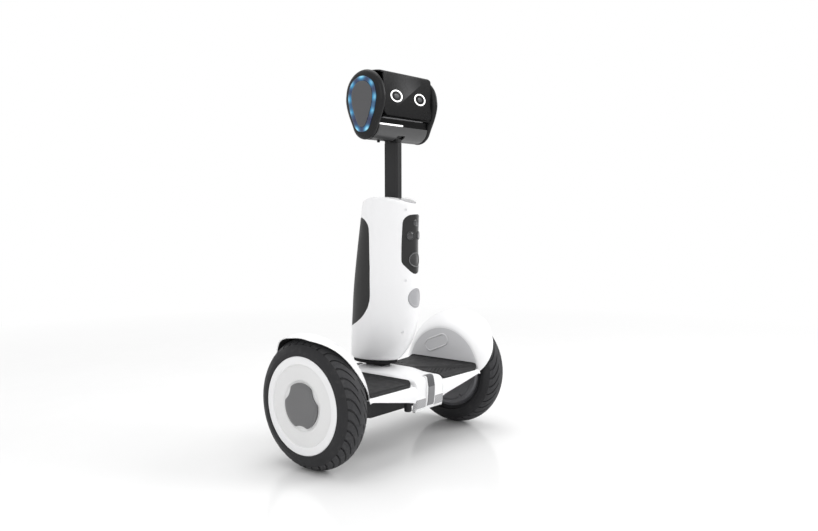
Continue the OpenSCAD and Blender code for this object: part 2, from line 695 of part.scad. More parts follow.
// Squared-off brow that frames the face plate: [y, z]
brow = [[-46.6, 782], [-45.4, 803], [-43.4, 806.4], [-38, 807.8], [-28, 808.9],
    [-14, 809.4], [-14, 800], [-34, 782]];

// Side outlines of the head and of an ear panel, grown all round
function head_egg(grow) = egg(pole_y, tilt_z, chin_r + grow, crown_z, crown_r + grow);
function ear_egg(grow) = egg(-5.5, 701, 10.8 + grow, crown_z, 28.3 + grow);

// Openings shared by the two halves of the head casing
module head_cuts() {
    slab_x(-78.5, 78.5) polygon(head_egg(-3));
    // Slot for the turret
    slab_x(-12, 12)
        polygon(concat([[pole_y, tilt_z]], arc(pole_y, tilt_z, 50, 180 + 42, 360 - 42, 6)));
    // Flat for the face plate
    slab_x(-81, 81)
        polygon([[-80, 690], [-46.5, 713], [-47.6, 713.6], [-44.4, 804], [-80, 812]]);
}

module head_body() {
    slab_x(-shell_half, shell_half) polygon(head_egg(0));
    slab_x(-shell_half, shell_half) polygon(brow);
}

module head_front_shell() color([0.16, 0.16, 0.17]) difference() {
    head_body();
    head_cuts();
    translate([-100, head_split_y, 600]) cube([200, 200, 300]);
    // Slot for the status bar
    translate([-76.4, -60, 695.5]) cube([120.8, 22.1, 3.6]);
}

module head_rear_shell() color([0.15, 0.15, 0.16]) difference() {
    union() {
        head_body();
        // Small sensor stud under the chin
        translate([-49.5, -8.3, 661.5]) cylinder(r = 3.2, h = 5.5);
    }
    head_cuts();
    translate([-100, head_split_y + 0.2 - 200, 600]) cube([200, 200, 300]);
    // Slots in the back
    for (z = [730:8:786]) translate([-30, 20, z]) cube([60, 60, 3]);
}

module face_plate() color(black) intersection() {
    slab_x(-face_half, face_half) polygon([[-51.9, face_z[0]], [-48.6, face_z[1]],
        [-44.6, face_z[1]], [-47.9, face_z[0]]]);
    slab_y(-60, -40) polygon(rounded(-face_half, face_z[0], face_half, face_z[1], 9));
}

// Wide oval eyes, lying on the sloping face plate
module eye_rings() color([1, 1, 1]) for (x = [-38.9, 38.9])
    translate([x, -50.35, 756.8]) rotate([87.88, 0, 0]) scale([1.52, 1, 1]) {
        difference() {
            translate([0, 0, 0.05]) cylinder(r = 13.4, h = 0.7);
            translate([0, 0, -1]) cylinder(r = 9.3, h = 3);
        }
        translate([0, 0, 0.05]) cylinder(r = 5, h = 0.7);
    }

module ear_pods() color([0.15, 0.15, 0.16]) both_sides() difference() {
    union() {
        slab_x(80.8, 92) polygon(head_egg(0.6));
        slab_x(92, 96) polygon(head_egg(-2));
    }
    slab_x(70, 90) polygon(head_egg(-4));
}

module ear_lights() color([0.2, 0.6, 0.9]) both_sides() difference() {
    slab_x(96, 99) polygon(egg(-5.5, 703, 23, crown_z, 38));
    slab_x(95, 101) polygon(ear_egg(0.2));
}

module ear_panels() color([0.34, 0.34, 0.35])
    both_sides() slab_x(96, head_half) polygon(ear_egg(0));

module status_bar() color([1, 1, 1]) translate([-76.2, -40.6, 695.7]) cube([70, 2.7, 3.2]);

module tilt_yoke() color([0.5, 0.5, 0.52]) both_sides() difference() {
    union() {
        slab_x(26, 34) polygon(egg(pole_y, tilt_z, 10, 760, 14));
        translate([26, pole_y - 12, 762]) cube([52.3, 24, 4]);
    }
    tube_x(tilt_pin_r + running_gap, 20, 40, pole_y, tilt_z);
}

chassis_frame();
belly_cover();
deck_cover();
spine_cover();
nose_band();
headlight_lenses();
tail_light();
nose_posts();
fender(-1);  // fender_left
fender(1);  // fender_right
fender_lights();
axle_shafts();
axle_clamps();
motor_stators();
battery_pack();
motor_controller();
steering_bearings();
steering_stops();
mat_switches();
charge_port();
belly_screws();
footmat(-1);  // footmat_left
footmat(1);  // footmat_right
charge_flap();
tyre(-1);  // tyre_left
rim(-1);  // rim_left
motor_cover(-1);  // motor_cover_left
wheel_bearings(-1);  // wheel_bearings_left
hub_cover(-1);  // hub_cover_left
hub_cap(-1);  // hub_cap_left
tyre(1);  // tyre_right
rim(1);  // rim_right
motor_cover(1);  // motor_cover_right
wheel_bearings(1);  // wheel_bearings_right
hub_cover(1);  // hub_cover_right
hub_cap(1);  // hub_cap_right
steering_stem();
torso_front_shell();
torso_rear_shell();
side_grips();
front_panel();
camera_lenses();
badge_disc();
accessory_inserts();
top_window();
mast_guide();
computer_board();
power_button();
neck_pole();
pan_motor();
pan_turret();
head_front_shell();
head_rear_shell();
face_plate();
eye_rings();
ear_pods();
ear_lights();
ear_panels();
status_bar();
tilt_yoke();
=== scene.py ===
# The looks of the two-wheel robot car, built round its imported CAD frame.
# Lengths in this file are in millimetres and become metres in make().
import math
import bpy
import bmesh
import numpy as np
from mathutils import Matrix, Vector
from mathutils.geometry import delaunay_2d_cdt


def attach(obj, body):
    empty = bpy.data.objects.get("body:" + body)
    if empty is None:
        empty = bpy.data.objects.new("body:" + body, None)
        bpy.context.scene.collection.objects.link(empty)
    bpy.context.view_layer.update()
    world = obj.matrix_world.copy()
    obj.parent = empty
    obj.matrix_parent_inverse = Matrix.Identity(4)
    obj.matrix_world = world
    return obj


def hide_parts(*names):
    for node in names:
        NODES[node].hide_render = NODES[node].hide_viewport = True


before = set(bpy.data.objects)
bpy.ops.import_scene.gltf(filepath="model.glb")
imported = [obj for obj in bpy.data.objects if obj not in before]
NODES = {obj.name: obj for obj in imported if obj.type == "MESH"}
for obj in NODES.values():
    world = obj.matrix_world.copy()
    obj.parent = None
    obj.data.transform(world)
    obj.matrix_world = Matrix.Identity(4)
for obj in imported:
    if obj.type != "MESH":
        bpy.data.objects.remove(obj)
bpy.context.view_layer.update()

pi = math.pi


def deg(a):
    return math.radians(a)


def lerp(a, b, t):
    return a + (b - a) * t


def clamp(v, a=0.0, b=1.0):
    return max(a, min(b, v))


def smooth(t):
    t = clamp(t)
    return t * t * (3 - 2 * t)


# =========================================================================
# Materials: every one is a node tree with colour, gloss and relief variation
# =========================================================================

def srgb(h):
    h = h.lstrip("#")
    c = [int(h[i:i + 2], 16) / 255 for i in (0, 2, 4)]
    return [v / 12.92 if v <= 0.04045 else ((v + 0.055) / 1.055) ** 2.4 for v in c]


class Tree:
    """A small helper for building node trees."""

    def __init__(self, name):
        self.m = bpy.data.materials.new(name)
        self.m.use_nodes = True
        self.t = self.m.node_tree
        self.t.nodes.clear()
        self.out = self.n("ShaderNodeOutputMaterial")
        self.b = self.n("ShaderNodeBsdfPrincipled")
        self.link(self.b.outputs[0], self.out.inputs[0])
        self.co = self.n("ShaderNodeTexCoord").outputs["Object"]

    def n(self, kind, **kw):
        node = self.t.nodes.new(kind)
        for k, v in kw.items():
            setattr(node, k, v)
        return node

    def link(self, a, b):
        self.t.links.new(a, b)

    def put(self, sock, v):
        if hasattr(v, "is_linked") or hasattr(v, "links"):
            self.link(v, sock)
        else:
            sock.default_value = v

    def noise(self, scale, detail=2.0, rough=0.5, vec=None, out="Fac", dist=0.0):
        k = self.n("ShaderNodeTexNoise")
        k.inputs["Scale"].default_value = scale
        k.inputs["Detail"].default_value = detail
        k.inputs["Roughness"].default_value = rough
        k.inputs["Distortion"].default_value = dist
        self.link(vec if vec is not None else self.co, k.inputs["Vector"])
        return k.outputs[out]

    def voronoi(self, scale, vec=None, feature="F1", out="Distance", rnd=1.0):
        k = self.n("ShaderNodeTexVoronoi")
        k.feature = feature
        k.inputs["Scale"].default_value = scale
        k.inputs["Randomness"].default_value = rnd
        self.link(vec if vec is not None else self.co, k.inputs["Vector"])
        return k.outputs[out]

    def stretch(self, sx, sy, sz, rot=(0, 0, 0), loc=(0, 0, 0)):
        k = self.n("ShaderNodeMapping")
        k.inputs["Scale"].default_value = (sx, sy, sz)
        k.inputs["Rotation"].default_value = rot
        k.inputs["Location"].default_value = loc
        self.link(self.co, k.inputs["Vector"])
        return k.outputs[0]

    def range(self, v, a, b, c, d, clampit=True):
        k = self.n("ShaderNodeMapRange")
        k.clamp = clampit
        for i, x in zip((1, 2, 3, 4), (a, b, c, d)):
            k.inputs[i].default_value = x
        self.link(v, k.inputs[0])
        return k.outputs[0]

    def math(self, op, a, b=0.0, c=0.0):
        k = self.n("ShaderNodeMath", operation=op)
        self.put(k.inputs[0], a)
        self.put(k.inputs[1], b)
        if op in ("MULTIPLY_ADD", "WRAP", "SMOOTH_MIN"):
            self.put(k.inputs[2], c)
        return k.outputs[0]

    def mix(self, f, a, b, kind="MIX"):
        k = self.n("ShaderNodeMix", data_type="RGBA", blend_type=kind)
        self.put(k.inputs[0], f)
        for sock, v in ((k.inputs[6], a), (k.inputs[7], b)):
            if isinstance(v, (list, tuple)):
                sock.default_value = (*v[:3], 1)
            else:
                self.link(v, sock)
        return k.outputs[2]

    def bump(self, h, dist, strength=1.0, normal=None):
        k = self.n("ShaderNodeBump")
        k.inputs["Strength"].default_value = strength
        k.inputs["Distance"].default_value = dist
        self.link(h, k.inputs["Height"])
        if normal is not None:
            self.link(normal, k.inputs["Normal"])
        return k.outputs[0]

    def attr(self, name):
        return self.n("ShaderNodeAttribute", attribute_name=name).outputs["Fac"]

    def sep(self, vec=None):
        k = self.n("ShaderNodeSeparateXYZ")
        self.link(vec if vec is not None else self.co, k.inputs[0])
        return k.outputs

    def set(self, **kw):
        names = dict(color="Base Color", rough="Roughness", metal="Metallic", spec="Specular IOR Level",
                     coat="Coat Weight", coat_rough="Coat Roughness", normal="Normal", coat_normal="Coat Normal",
                     emis="Emission Color", power="Emission Strength", ior="IOR", sss="Subsurface Weight",
                     trans="Transmission Weight", sheen="Sheen Weight", aniso="Anisotropic", alpha="Alpha")
        for k, v in kw.items():
            s = self.b.inputs[names[k]]
            if isinstance(v, (list, tuple)):
                s.default_value = (*v[:3], 1)
            else:
                self.put(s, v)


def plastic(name, col, rough=0.45, var=0.03, rvar=0.08, grain=0.00002, grain_scale=2600, orange=0.0, spec=0.5,
            coat=0.0, coat_rough=0.12, wear=0.0, wear_col=None, scuff=0.0, metal=0.0, cloud=9.0):
    """Moulded plastic or paint: clouded colour, mould grain, worn edges and faint scuffs."""
    t = Tree(name)
    c = srgb(col) if isinstance(col, str) else col
    big = t.noise(cloud, 3, 0.55)
    lo, hi = [v * (1 - var) for v in c], [min(1, v * (1 + var)) for v in c]
    base = t.mix(t.range(big, 0.3, 0.7, 0, 1), lo, hi)
    fine = t.noise(260, 3, 0.6)
    base = t.mix(t.range(fine, 0.35, 0.75, 0, var * 1.2), base, [v * 0.82 for v in c])
    r = t.math("ADD", t.range(t.noise(23, 4, 0.65), 0.3, 0.7, rough - rvar * rough, rough + rvar * rough),
               t.range(fine, 0.3, 0.8, 0, rvar * 0.12))
    if scuff:
        sc = t.noise(1.0, 2, 0.5, t.stretch(420, 30, 90, (0.3, 0.5, 0.9)))
        line = t.range(sc, 0.68, 0.74, 0, scuff)
        r = t.math("ADD", r, line)
        base = t.mix(t.math("MULTIPLY", line, 0.35), base, [min(1, v * 1.5 + 0.02) for v in c])
    if wear:
        p = t.n("ShaderNodeNewGeometry").outputs["Pointiness"]
        e = t.math("MULTIPLY", t.range(p, 0.52, 0.62, 0, 1), t.range(t.noise(170, 3, 0.7), 0.35, 0.7, 0.15, 1))
        base = t.mix(t.math("MULTIPLY", e, wear), base, srgb(wear_col) if isinstance(wear_col, str) else (wear_col or [min(1, v * 1.8 + 0.03) for v in c]))
    nrm = t.bump(t.noise(grain_scale, 2, 0.6), grain, 1.0)
    if orange:
        nrm = t.bump(t.noise(340, 2, 0.4), orange, 1.0, nrm)
    t.set(color=base, rough=r, spec=spec, normal=nrm, coat=coat, coat_rough=coat_rough, metal=metal)
    return t


WHITE = plastic("white_shell_m", "#ededee", 0.36, var=0.010, rvar=0.14, grain=0.000004, orange=0.00001, coat=0.25, coat_rough=0.18, scuff=0.03).m
WHITE_IN = plastic("white_inner_m", "#e2e2e3", 0.5, var=0.015, grain=0.00001).m
DARK = plastic("dark_frame_m", "#262628", 0.5, spec=0.25, var=0.10, rvar=0.12, grain=0.00003, grain_scale=1900, wear=0.35, scuff=0.12).m
CAST = plastic("dark_cast_m", "#222224", 0.55, spec=0.25, var=0.12, grain=0.00005, grain_scale=1300, wear=0.4, scuff=0.1).m
GRIP = plastic("grip_dark_m", "#292929", 0.46, spec=0.25, var=0.05, grain=0.00003, grain_scale=2300, wear=0.15).m
SOFT = plastic("soft_rubber_m", "#212122", 0.75, spec=0.22, var=0.12, grain=0.00004).m
HEAD = plastic("head_shell_m", "#1c1c1d", 0.36, spec=0.18, var=0.05, rvar=0.1, grain=0.000012, grain_scale=3000, wear=0.1, coat=0.08, coat_rough=0.25).m
EAR_IN = plastic("ear_grey_m", "#4c4c4e", 0.42, var=0.05, grain=0.00001, wear=0.1).m
POLE = plastic("pole_dark_m", "#222223", 0.42, spec=0.28, var=0.08, grain=0.00002, wear=0.25, scuff=0.15).m
TRIM = plastic("grey_trim_m", "#767678", 0.42, var=0.03, grain=0.000015, wear=0.15).m
TRIM_DK = plastic("grey_trim_dark_m", "#4b4b4d", 0.42, var=0.03, grain=0.000015, wear=0.15).m
CAP = plastic("hub_cap_grey_m", "#626263", 0.34, var=0.03, grain=0.00001, coat=0.2, coat_rough=0.2, wear=0.15).m
DISC = plastic("disc_grey_m", "#cfcfd1", 0.45, var=0.012, grain=0.00001, grain_scale=3000).m
BADGE = plastic("badge_grey_m", "#a2a2a5", 0.33, var=0.02, grain=0.000006, coat=0.3).m
HUBWHITE = plastic("hub_white_m", "#e9e9ea", 0.34, var=0.012, grain=0.000006, orange=0.000008, coat=0.2, coat_rough=0.2, scuff=0.05).m


def metal(name, col, rough=0.3, brush=(900, 25, 25), var=0.06, bump=0.00002):
    t = Tree(name)
    c = srgb(col)
    b = t.noise(1.0, 3, 0.6, t.stretch(*brush))
    base = t.mix(t.range(b, 0.3, 0.7, 0, 1), [v * (1 - var) for v in c], [min(1, v * (1 + var)) for v in c])
    spot = t.range(t.noise(60, 5, 0.7), 0.55, 0.75, 0, 0.35)
    base = t.mix(spot, base, [v * 0.7 for v in c])
    r = t.math("ADD", t.range(b, 0.3, 0.7, rough * 0.8, rough * 1.25), t.math("MULTIPLY", spot, 0.3))
    t.set(color=base, rough=r, metal=1.0, normal=t.bump(b, bump, 0.7))
    return t.m


STEEL = metal("steel_m", "#b9babc", 0.28)
ALLOY = metal("alloy_m", "#a3a4a7", 0.38, (400, 400, 60))
BRONZE = metal("bronze_m", "#b08b4f", 0.34)
RIM = metal("rim_alloy_m", "#56575a", 0.42, (150, 150, 150), bump=0.00003)


def copper():
    t = Tree("copper_winding_m")
    x = t.sep(t.stretch(1, 1, 1))
    ang = t.math("ARCTAN2", t.math("SUBTRACT", x[2], 0.1335), x[1])
    w = t.n("ShaderNodeTexWave")
    w.inputs["Scale"].default_value = 700
    w.inputs["Distortion"].default_value = 1.5
    t.link(t.co, w.inputs["Vector"])
    base = t.mix(w.outputs["Fac"], srgb("#8a4a22"), srgb("#d98d55"))
    base = t.mix(t.range(t.math("SINE", t.math("MULTIPLY", ang, 18)), 0.2, 0.6, 0, 0.6), base, srgb("#5a2d16"))
    t.set(color=base, rough=t.range(t.noise(90, 3), 0.3, 0.7, 0.3, 0.5), metal=0.85, normal=t.bump(w.outputs["Fac"], 0.0003))
    return t.m


COPPER = copper()


def wrap():
    t = Tree("battery_wrap_m")
    v = t.voronoi(55, t.stretch(1, 1, 0.2))
    base = t.mix(t.range(v, 0.1, 0.9, 0, 1), srgb("#20406f"), srgb("#2f5d9c"))
    wr = t.noise(60, 4, 0.6, t.stretch(1, 3, 1))
    t.set(color=base, rough=t.range(wr, 0.3, 0.7, 0.2, 0.36), normal=t.bump(wr, 0.0006), coat=0.4)
    return t.m


WRAP = wrap()


def board():
    t = Tree("board_green_m")
    br = t.n("ShaderNodeTexBrick")
    br.inputs["Scale"].default_value = 120
    br.inputs["Mortar Size"].default_value = 0.03
    t.link(t.co, br.inputs["Vector"])
    vo = t.voronoi(160, feature="DISTANCE_TO_EDGE")
    trace = t.range(vo, 0.02, 0.06, 1, 0)
    base = t.mix(t.math("MULTIPLY", trace, 0.6), srgb("#0f3d26"), srgb("#2f7a4a"))
    dots = t.range(t.voronoi(300), 0.1, 0.16, 1, 0)
    base = t.mix(dots, base, srgb("#b9a46a"))
    t.set(color=base, rough=t.range(t.noise(300), 0.3, 0.7, 0.3, 0.5), normal=t.bump(trace, 0.0001), coat=0.3)
    return t.m


BOARD = board()


def tyre_mat():
    t = Tree("tyre_rubber_m")
    c = srgb("#252527")
    big = t.noise(11, 4, 0.6)
    base = t.mix(t.range(big, 0.3, 0.7, 0, 1), [v * 0.9 for v in c], [v * 1.1 for v in c])
    # painted shade: grooves are coloured near-black by their depth, standing in for the shade inside them
    base = t.mix(t.range(t.attr("groove_shade"), 0.05, 0.7, 0, 0.95), base, srgb("#0b0b0c"))
    # Tread blocks are coloured a little lighter than the sidewall, in patches
    base = t.mix(t.math("MULTIPLY", t.attr("tread"), t.range(t.noise(160, 3, 0.6), 0.3, 0.7, 0.3, 0.6)), base, srgb("#454547"))
    dust = t.range(t.noise(75, 5, 0.7), 0.52, 0.8, 0, 0.12)
    base = t.mix(dust, base, srgb("#77746f"))
    r = t.range(t.noise(40, 4, 0.6), 0.3, 0.7, 0.50, 0.62)
    nrm = t.bump(t.noise(1500, 3, 0.6), 0.00004)
    nrm = t.bump(t.noise(90, 3, 0.5), 0.00008, 1, nrm)
    t.set(color=base, rough=r, spec=0.28, normal=nrm)
    return t.m


TYRE = tyre_mat()


def mat_rubber():
    t = Tree("mat_rubber_m")
    c = srgb("#282829")
    base = t.mix(t.range(t.noise(14, 4, 0.6), 0.3, 0.7, 0, 1), [v * 0.9 for v in c], [v * 1.12 for v in c])
    base = t.mix(t.range(t.attr("dot"), 0.05, 0.5, 0, 0.9), base, srgb("#101011"))
    base = t.mix(t.range(t.noise(230, 4, 0.7), 0.6, 0.8, 0, 0.15), base, srgb("#6a6863"))
    t.set(color=base, rough=t.range(t.noise(60, 4), 0.3, 0.7, 0.52, 0.68), spec=0.24,
          normal=t.bump(t.noise(1700, 2, 0.6), 0.00005, 1, t.bump(t.voronoi(900), 0.00003)))
    return t.m


MAT = mat_rubber()


def gloss_black():
    t = Tree("gloss_black_m")
    c = srgb("#0b0b0d")
    base = t.mix(t.range(t.noise(7, 2), 0.3, 0.7, 0, 1), c, srgb("#111114"))
    smear = t.noise(1.0, 4, 0.6, t.stretch(30, 30, 12, (0.2, 0.1, 0.4)))
    t.set(color=base, rough=t.range(smear, 0.35, 0.75, 0.055, 0.13), spec=0.5, coat=0.7, coat_rough=t.range(smear, 0.3, 0.7, 0.02, 0.06),
          normal=t.bump(t.noise(45, 1, 0.3), 0.00001))
    return t.m


GLOSS = gloss_black()


def lens_black():
    t = Tree("lens_black_m")
    # painted reflection: the glass colour turns lighter towards glancing angles
    glancing_sheen = t.n("ShaderNodeLayerWeight")
    glancing_sheen.inputs[0].default_value = 0.35
    base = t.mix(glancing_sheen.outputs["Facing"], srgb("#07070a"), srgb("#20232c"))
    base = t.mix(t.range(t.noise(420, 2), 0.6, 0.7, 0, 0.2), base, srgb("#1c2440"))
    t.set(color=base, rough=t.range(t.noise(60), 0.3, 0.7, 0.03, 0.07), spec=0.7, coat=1.0, coat_rough=0.03)
    return t.m


LENS = lens_black()


def lamp(name, lo, hi, scale=260, power=0.0, ecol=None, rough=0.22):
    """A light cover: small prisms moulded behind a clear face."""
    t = Tree(name)
    x = t.sep()
    pr = t.math("MULTIPLY", t.math("SINE", t.math("MULTIPLY", x[0], scale * 6.283 / 1.0)), t.math("SINE", t.math("MULTIPLY", x[2], scale * 6.283)))
    f = t.range(pr, -1, 1, 0, 1)
    base = t.mix(t.range(f, 0, 1, 0.15, 0.85), srgb(lo), srgb(hi))
    base = t.mix(t.range(t.noise(50, 3), 0.3, 0.7, 0, 0.3), base, srgb(lo))
    kw = dict(color=base, rough=rough, spec=0.6, coat=0.8, coat_rough=0.05, normal=t.bump(f, 0.00025, 0.6))
    if power:
        kw.update(emis=srgb(ecol), power=power)
    t.set(**kw)
    return t.m


LENS_GREY = lamp("lens_grey_m", "#838385", "#aeaeb0", 190)
TAIL_RED = lamp("tail_red_m", "#7c0d12", "#c81e25", 190)
WINDOW = lamp("window_grey_m", "#88888b", "#a6a6a9", 420)


def led_white():
    t = Tree("led_white_m")
    f = t.range(t.noise(500, 2), 0.3, 0.7, 0.9, 1.0)
    t.set(color=t.mix(f, srgb("#d8dade"), srgb("#ffffff")), rough=t.range(t.noise(80), 0.3, 0.7, 0.25, 0.4),
          emis=t.mix(f, srgb("#e6ebf2"), srgb("#ffffff")), power=0.85, normal=t.bump(t.noise(900), 0.00001))
    return t.m


LED_WHITE = led_white()


def eye_grey():
    t = Tree("eye_grey_m")
    f = t.range(t.noise(420, 2), 0.3, 0.7, 0.8, 1.0)
    t.set(color=t.mix(f, srgb("#2c2d2f"), srgb("#343538")), rough=t.range(t.noise(80), 0.3, 0.7, 0.22, 0.36),
          emis=srgb("#606266"), power=0.05, normal=t.bump(t.noise(900), 0.00001))
    return t.m


EYE_GREY = eye_grey()


def led_blue():
    t = Tree("led_blue_m")
    g = t.attr("glow")
    edge = t.attr("rimglow")
    core = t.mix(g, srgb("#262a55"), srgb("#2fb4ea"))
    core = t.mix(t.math("MULTIPLY", t.math("POWER", g, 2.0), edge), core, srgb("#a5e9ff"))
    base = t.mix(t.range(t.noise(300), 0.3, 0.7, 0, 0.5), srgb("#101833"), srgb("#161e44"))
    t.set(color=base, rough=t.range(t.noise(70), 0.3, 0.7, 0.2, 0.3), coat=0.4, coat_rough=0.08, emis=core,
          power=t.math("MULTIPLY_ADD", g, 0.62, 0.36), normal=t.bump(t.noise(800), 0.00001))
    return t.m


LED_BLUE = led_blue()

# =========================================================================
# Mesh helpers
# =========================================================================


def make(name, verts, faces, mat, body, stands=(), sharp=38, bevel=0, seg=2, solid=0, attrs=None,
         mats=None, fmat=None, flip=False, weld=0, wn=True, bevel_angle=32, subd=0, recalc=False):
    me = bpy.data.meshes.new(name)
    me.from_pydata([(v[0] * .001, v[1] * .001, v[2] * .001) for v in verts], [], [tuple(f) for f in faces])
    for m in (mats or [mat]):
        me.materials.append(m)
    if fmat is not None:
        me.polygons.foreach_set("material_index", fmat)
    if attrs:
        for k, vals in attrs.items():
            a = me.attributes.new(k, "FLOAT", "POINT")
            a.data.foreach_set("value", list(vals))
    if weld or flip or recalc:
        bm = bmesh.new()
        bm.from_mesh(me)
        if weld:
            bmesh.ops.remove_doubles(bm, verts=bm.verts, dist=weld * .001)
        if recalc:
            bmesh.ops.recalc_face_normals(bm, faces=bm.faces)
        if flip:
            bmesh.ops.reverse_faces(bm, faces=bm.faces)
        bm.to_mesh(me)
        bm.free()
    me.update()
    return finish_piece(name, me, body, stands, sharp, bevel, seg, solid, wn, bevel_angle, subd)


def finish_piece(name, me, body, stands=(), sharp=38, bevel=0, seg=2, solid=0, wn=True, bevel_angle=32, subd=0):
    ob = bpy.data.objects.new(name, me)
    bpy.context.scene.collection.objects.link(ob)
    me.shade_smooth()
    if sharp:
        me.set_sharp_from_angle(angle=deg(sharp))
    if solid:
        m = ob.modifiers.new("thickness", "SOLIDIFY")
        m.thickness = solid * .001
        m.offset = -1
        m.use_even_offset = False
    if subd:
        m = ob.modifiers.new("subd", "SUBSURF")
        m.levels = m.render_levels = subd
    if bevel:
        m = ob.modifiers.new("edges", "BEVEL")
        m.width = bevel * .001
        m.segments = seg
        m.limit_method = "ANGLE"
        m.angle_limit = deg(bevel_angle)
        m.use_clamp_overlap = True
    if wn:
        m = ob.modifiers.new("normals", "WEIGHTED_NORMAL")
        m.keep_sharp = True
    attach(ob, body)
    if stands:
        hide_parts(*([stands] if isinstance(stands, str) else stands))
    return ob


def grid_faces(nr, nc, close_c=False, close_r=False, base=0):
    """Faces for rows x columns of points stored row by row."""
    f = []
    for r in range(nr if close_r else nr - 1):
        for c in range(nc if close_c else nc - 1):
            a, b = base + r * nc + c, base + r * nc + (c + 1) % nc
            d, e = base + ((r + 1) % nr) * nc + c, base + ((r + 1) % nr) * nc + (c + 1) % nc
            f.append((a, b, e, d))
    return f


def mirror_x(verts, faces, s):
    """Right-hand geometry, or its mirror image for s < 0."""
    if s > 0:
        return verts, faces
    return [(-v[0], v[1], v[2]) for v in verts], [tuple(reversed(f)) for f in faces]


AXLE_Z = 133.5


def wheel_lathe(profile, n=128, close=True):
    """profile of (r, x) turned about the axle. Closed profiles run so that normals point out."""
    v, f = [], []
    for i in range(n):
        a = 2 * pi * i / n
        v += [(x, -r * math.sin(a), AXLE_Z + r * math.cos(a)) for r, x in profile]
    m = len(profile)
    for i in range(n):
        j = (i + 1) % n
        for k in range(m if close else m - 1):
            l = (k + 1) % m
            f.append((i * m + k, j * m + k, j * m + l, i * m + l))
    return v, f


def lathe(profile, centre, axis, n=48):
    """Solid of revolution: profile of (r, h) about axis through centre; ends on the axis are closed by fans."""
    ax = Vector(axis).normalized()
    u = ax.orthogonal().normalized()
    w = ax.cross(u)
    v, f, rows = [], [], []
    for r, h in profile:
        if r < 1e-6:
            rows.append([len(v)])
            v.append(Vector(centre) + ax * h)
        else:
            rows.append(list(range(len(v), len(v) + n)))
            for i in range(n):
                a = 2 * pi * i / n
                v.append(Vector(centre) + ax * h + (u * math.cos(a) + w * math.sin(a)) * r)
    for a, b in zip(rows, rows[1:]):
        for i in range(n):
            j = (i + 1) % n
            if len(a) == 1 and len(b) == 1:
                continue
            if len(a) == 1:
                f.append((a[0], b[j], b[i]))
            elif len(b) == 1:
                f.append((a[i], a[j], b[0]))
            else:
                f.append((a[i], a[j], b[j], b[i]))
    return [tuple(p) for p in v], f


def join(*parts):
    v, f = [], []
    for pv, pf in parts:
        o = len(v)
        v += list(pv)
        f += [tuple(i + o for i in q) for q in pf]
    return v, f


def inside(poly, pts):
    """Even-odd test of many points against one polygon."""
    poly = np.asarray(poly, float)
    pts = np.asarray(pts, float)
    x, y = pts[:, 0], pts[:, 1]
    res = np.zeros(len(pts), bool)
    j = len(poly) - 1
    for i in range(len(poly)):
        xi, yi = poly[i]
        xj, yj = poly[j]
        if yi != yj:
            c = ((yi > y) != (yj > y)) & (x < (xj - xi) * (y - yi) / (yj - yi) + xi)
            res ^= c
        j = i
    return res


def edge_dist(poly, pts):
    poly = np.asarray(poly, float)
    pts = np.asarray(pts, float)
    best = np.full(len(pts), 1e9)
    for i in range(len(poly)):
        a, b = poly[i], poly[(i + 1) % len(poly)]
        d = b - a
        l = max((d ** 2).sum(), 1e-12)
        t = np.clip(((pts - a) @ d) / l, 0, 1)
        q = a + t[:, None] * d
        best = np.minimum(best, np.hypot(*(pts - q).T))
    return best


def resample(poly, step, closed=True):
    """Adds points along an outline so that no edge is longer than step."""
    out = []
    n = len(poly)
    for i in range(n if closed else n - 1):
        a, b = poly[i], poly[(i + 1) % n]
        k = max(1, int(math.ceil(math.hypot(b[0] - a[0], b[1] - a[1]) / step)))
        out += [(lerp(a[0], b[0], j / k), lerp(a[1], b[1], j / k)) for j in range(k)]
    if not closed:
        out.append(tuple(poly[-1]))
    return out


def round_poly(poly, r, n=5):
    """Rounds each corner of a polygon; r is one radius or one per corner."""
    out = []
    m = len(poly)
    for i in range(m):
        p0, p, p1 = Vector(poly[i - 1]), Vector(poly[i]), Vector(poly[(i + 1) % m])
        rr = r[i] if isinstance(r, (list, tuple)) else r
        a, b = (p0 - p), (p1 - p)
        la, lb = a.length, b.length
        a.normalize(); b.normalize()
        ang = math.acos(clamp(a.dot(b), -1, 1))
        if rr <= 0 or ang > pi - 0.02:
            out.append(tuple(p)); continue
        t = min(rr / math.tan(ang / 2), la * 0.49, lb * 0.49)
        rr = t * math.tan(ang / 2)
        c = p + (a + b).normalized() * (rr / math.sin(ang / 2))
        s, e = p + a * t - c, p + b * t - c
        sa, ea = math.atan2(s.y, s.x), math.atan2(e.y, e.x)
        d = (ea - sa + pi) % (2 * pi) - pi
        out += [(c.x + rr * math.cos(sa + d * k / n), c.y + rr * math.sin(sa + d * k / n)) for k in range(n + 1)]
    return out


def offset_poly(poly, d):
    """Moves a counter-clockwise outline outwards by d (inwards if negative)."""
    n = len(poly)
    out = []
    for i in range(n):
        a, b, c = Vector(poly[i - 1]), Vector(poly[i]), Vector(poly[(i + 1) % n])
        e1, e2 = (b - a), (c - b)
        if e1.length < 1e-9: e1 = e2
        if e2.length < 1e-9: e2 = e1
        n1 = Vector((e1.y, -e1.x)).normalized()
        n2 = Vector((e2.y, -e2.x)).normalized()
        m = (n1 + n2)
        if m.length < 1e-6:
            m = n1
        m.normalize()
        out.append(tuple(b + m * (d / max(0.5, m.dot(n1)))))
    return out


def ccw(poly):
    a = sum(poly[i - 1][0] * poly[i][1] - poly[i][0] * poly[i - 1][1] for i in range(len(poly)))
    return list(poly) if a > 0 else list(reversed(poly))


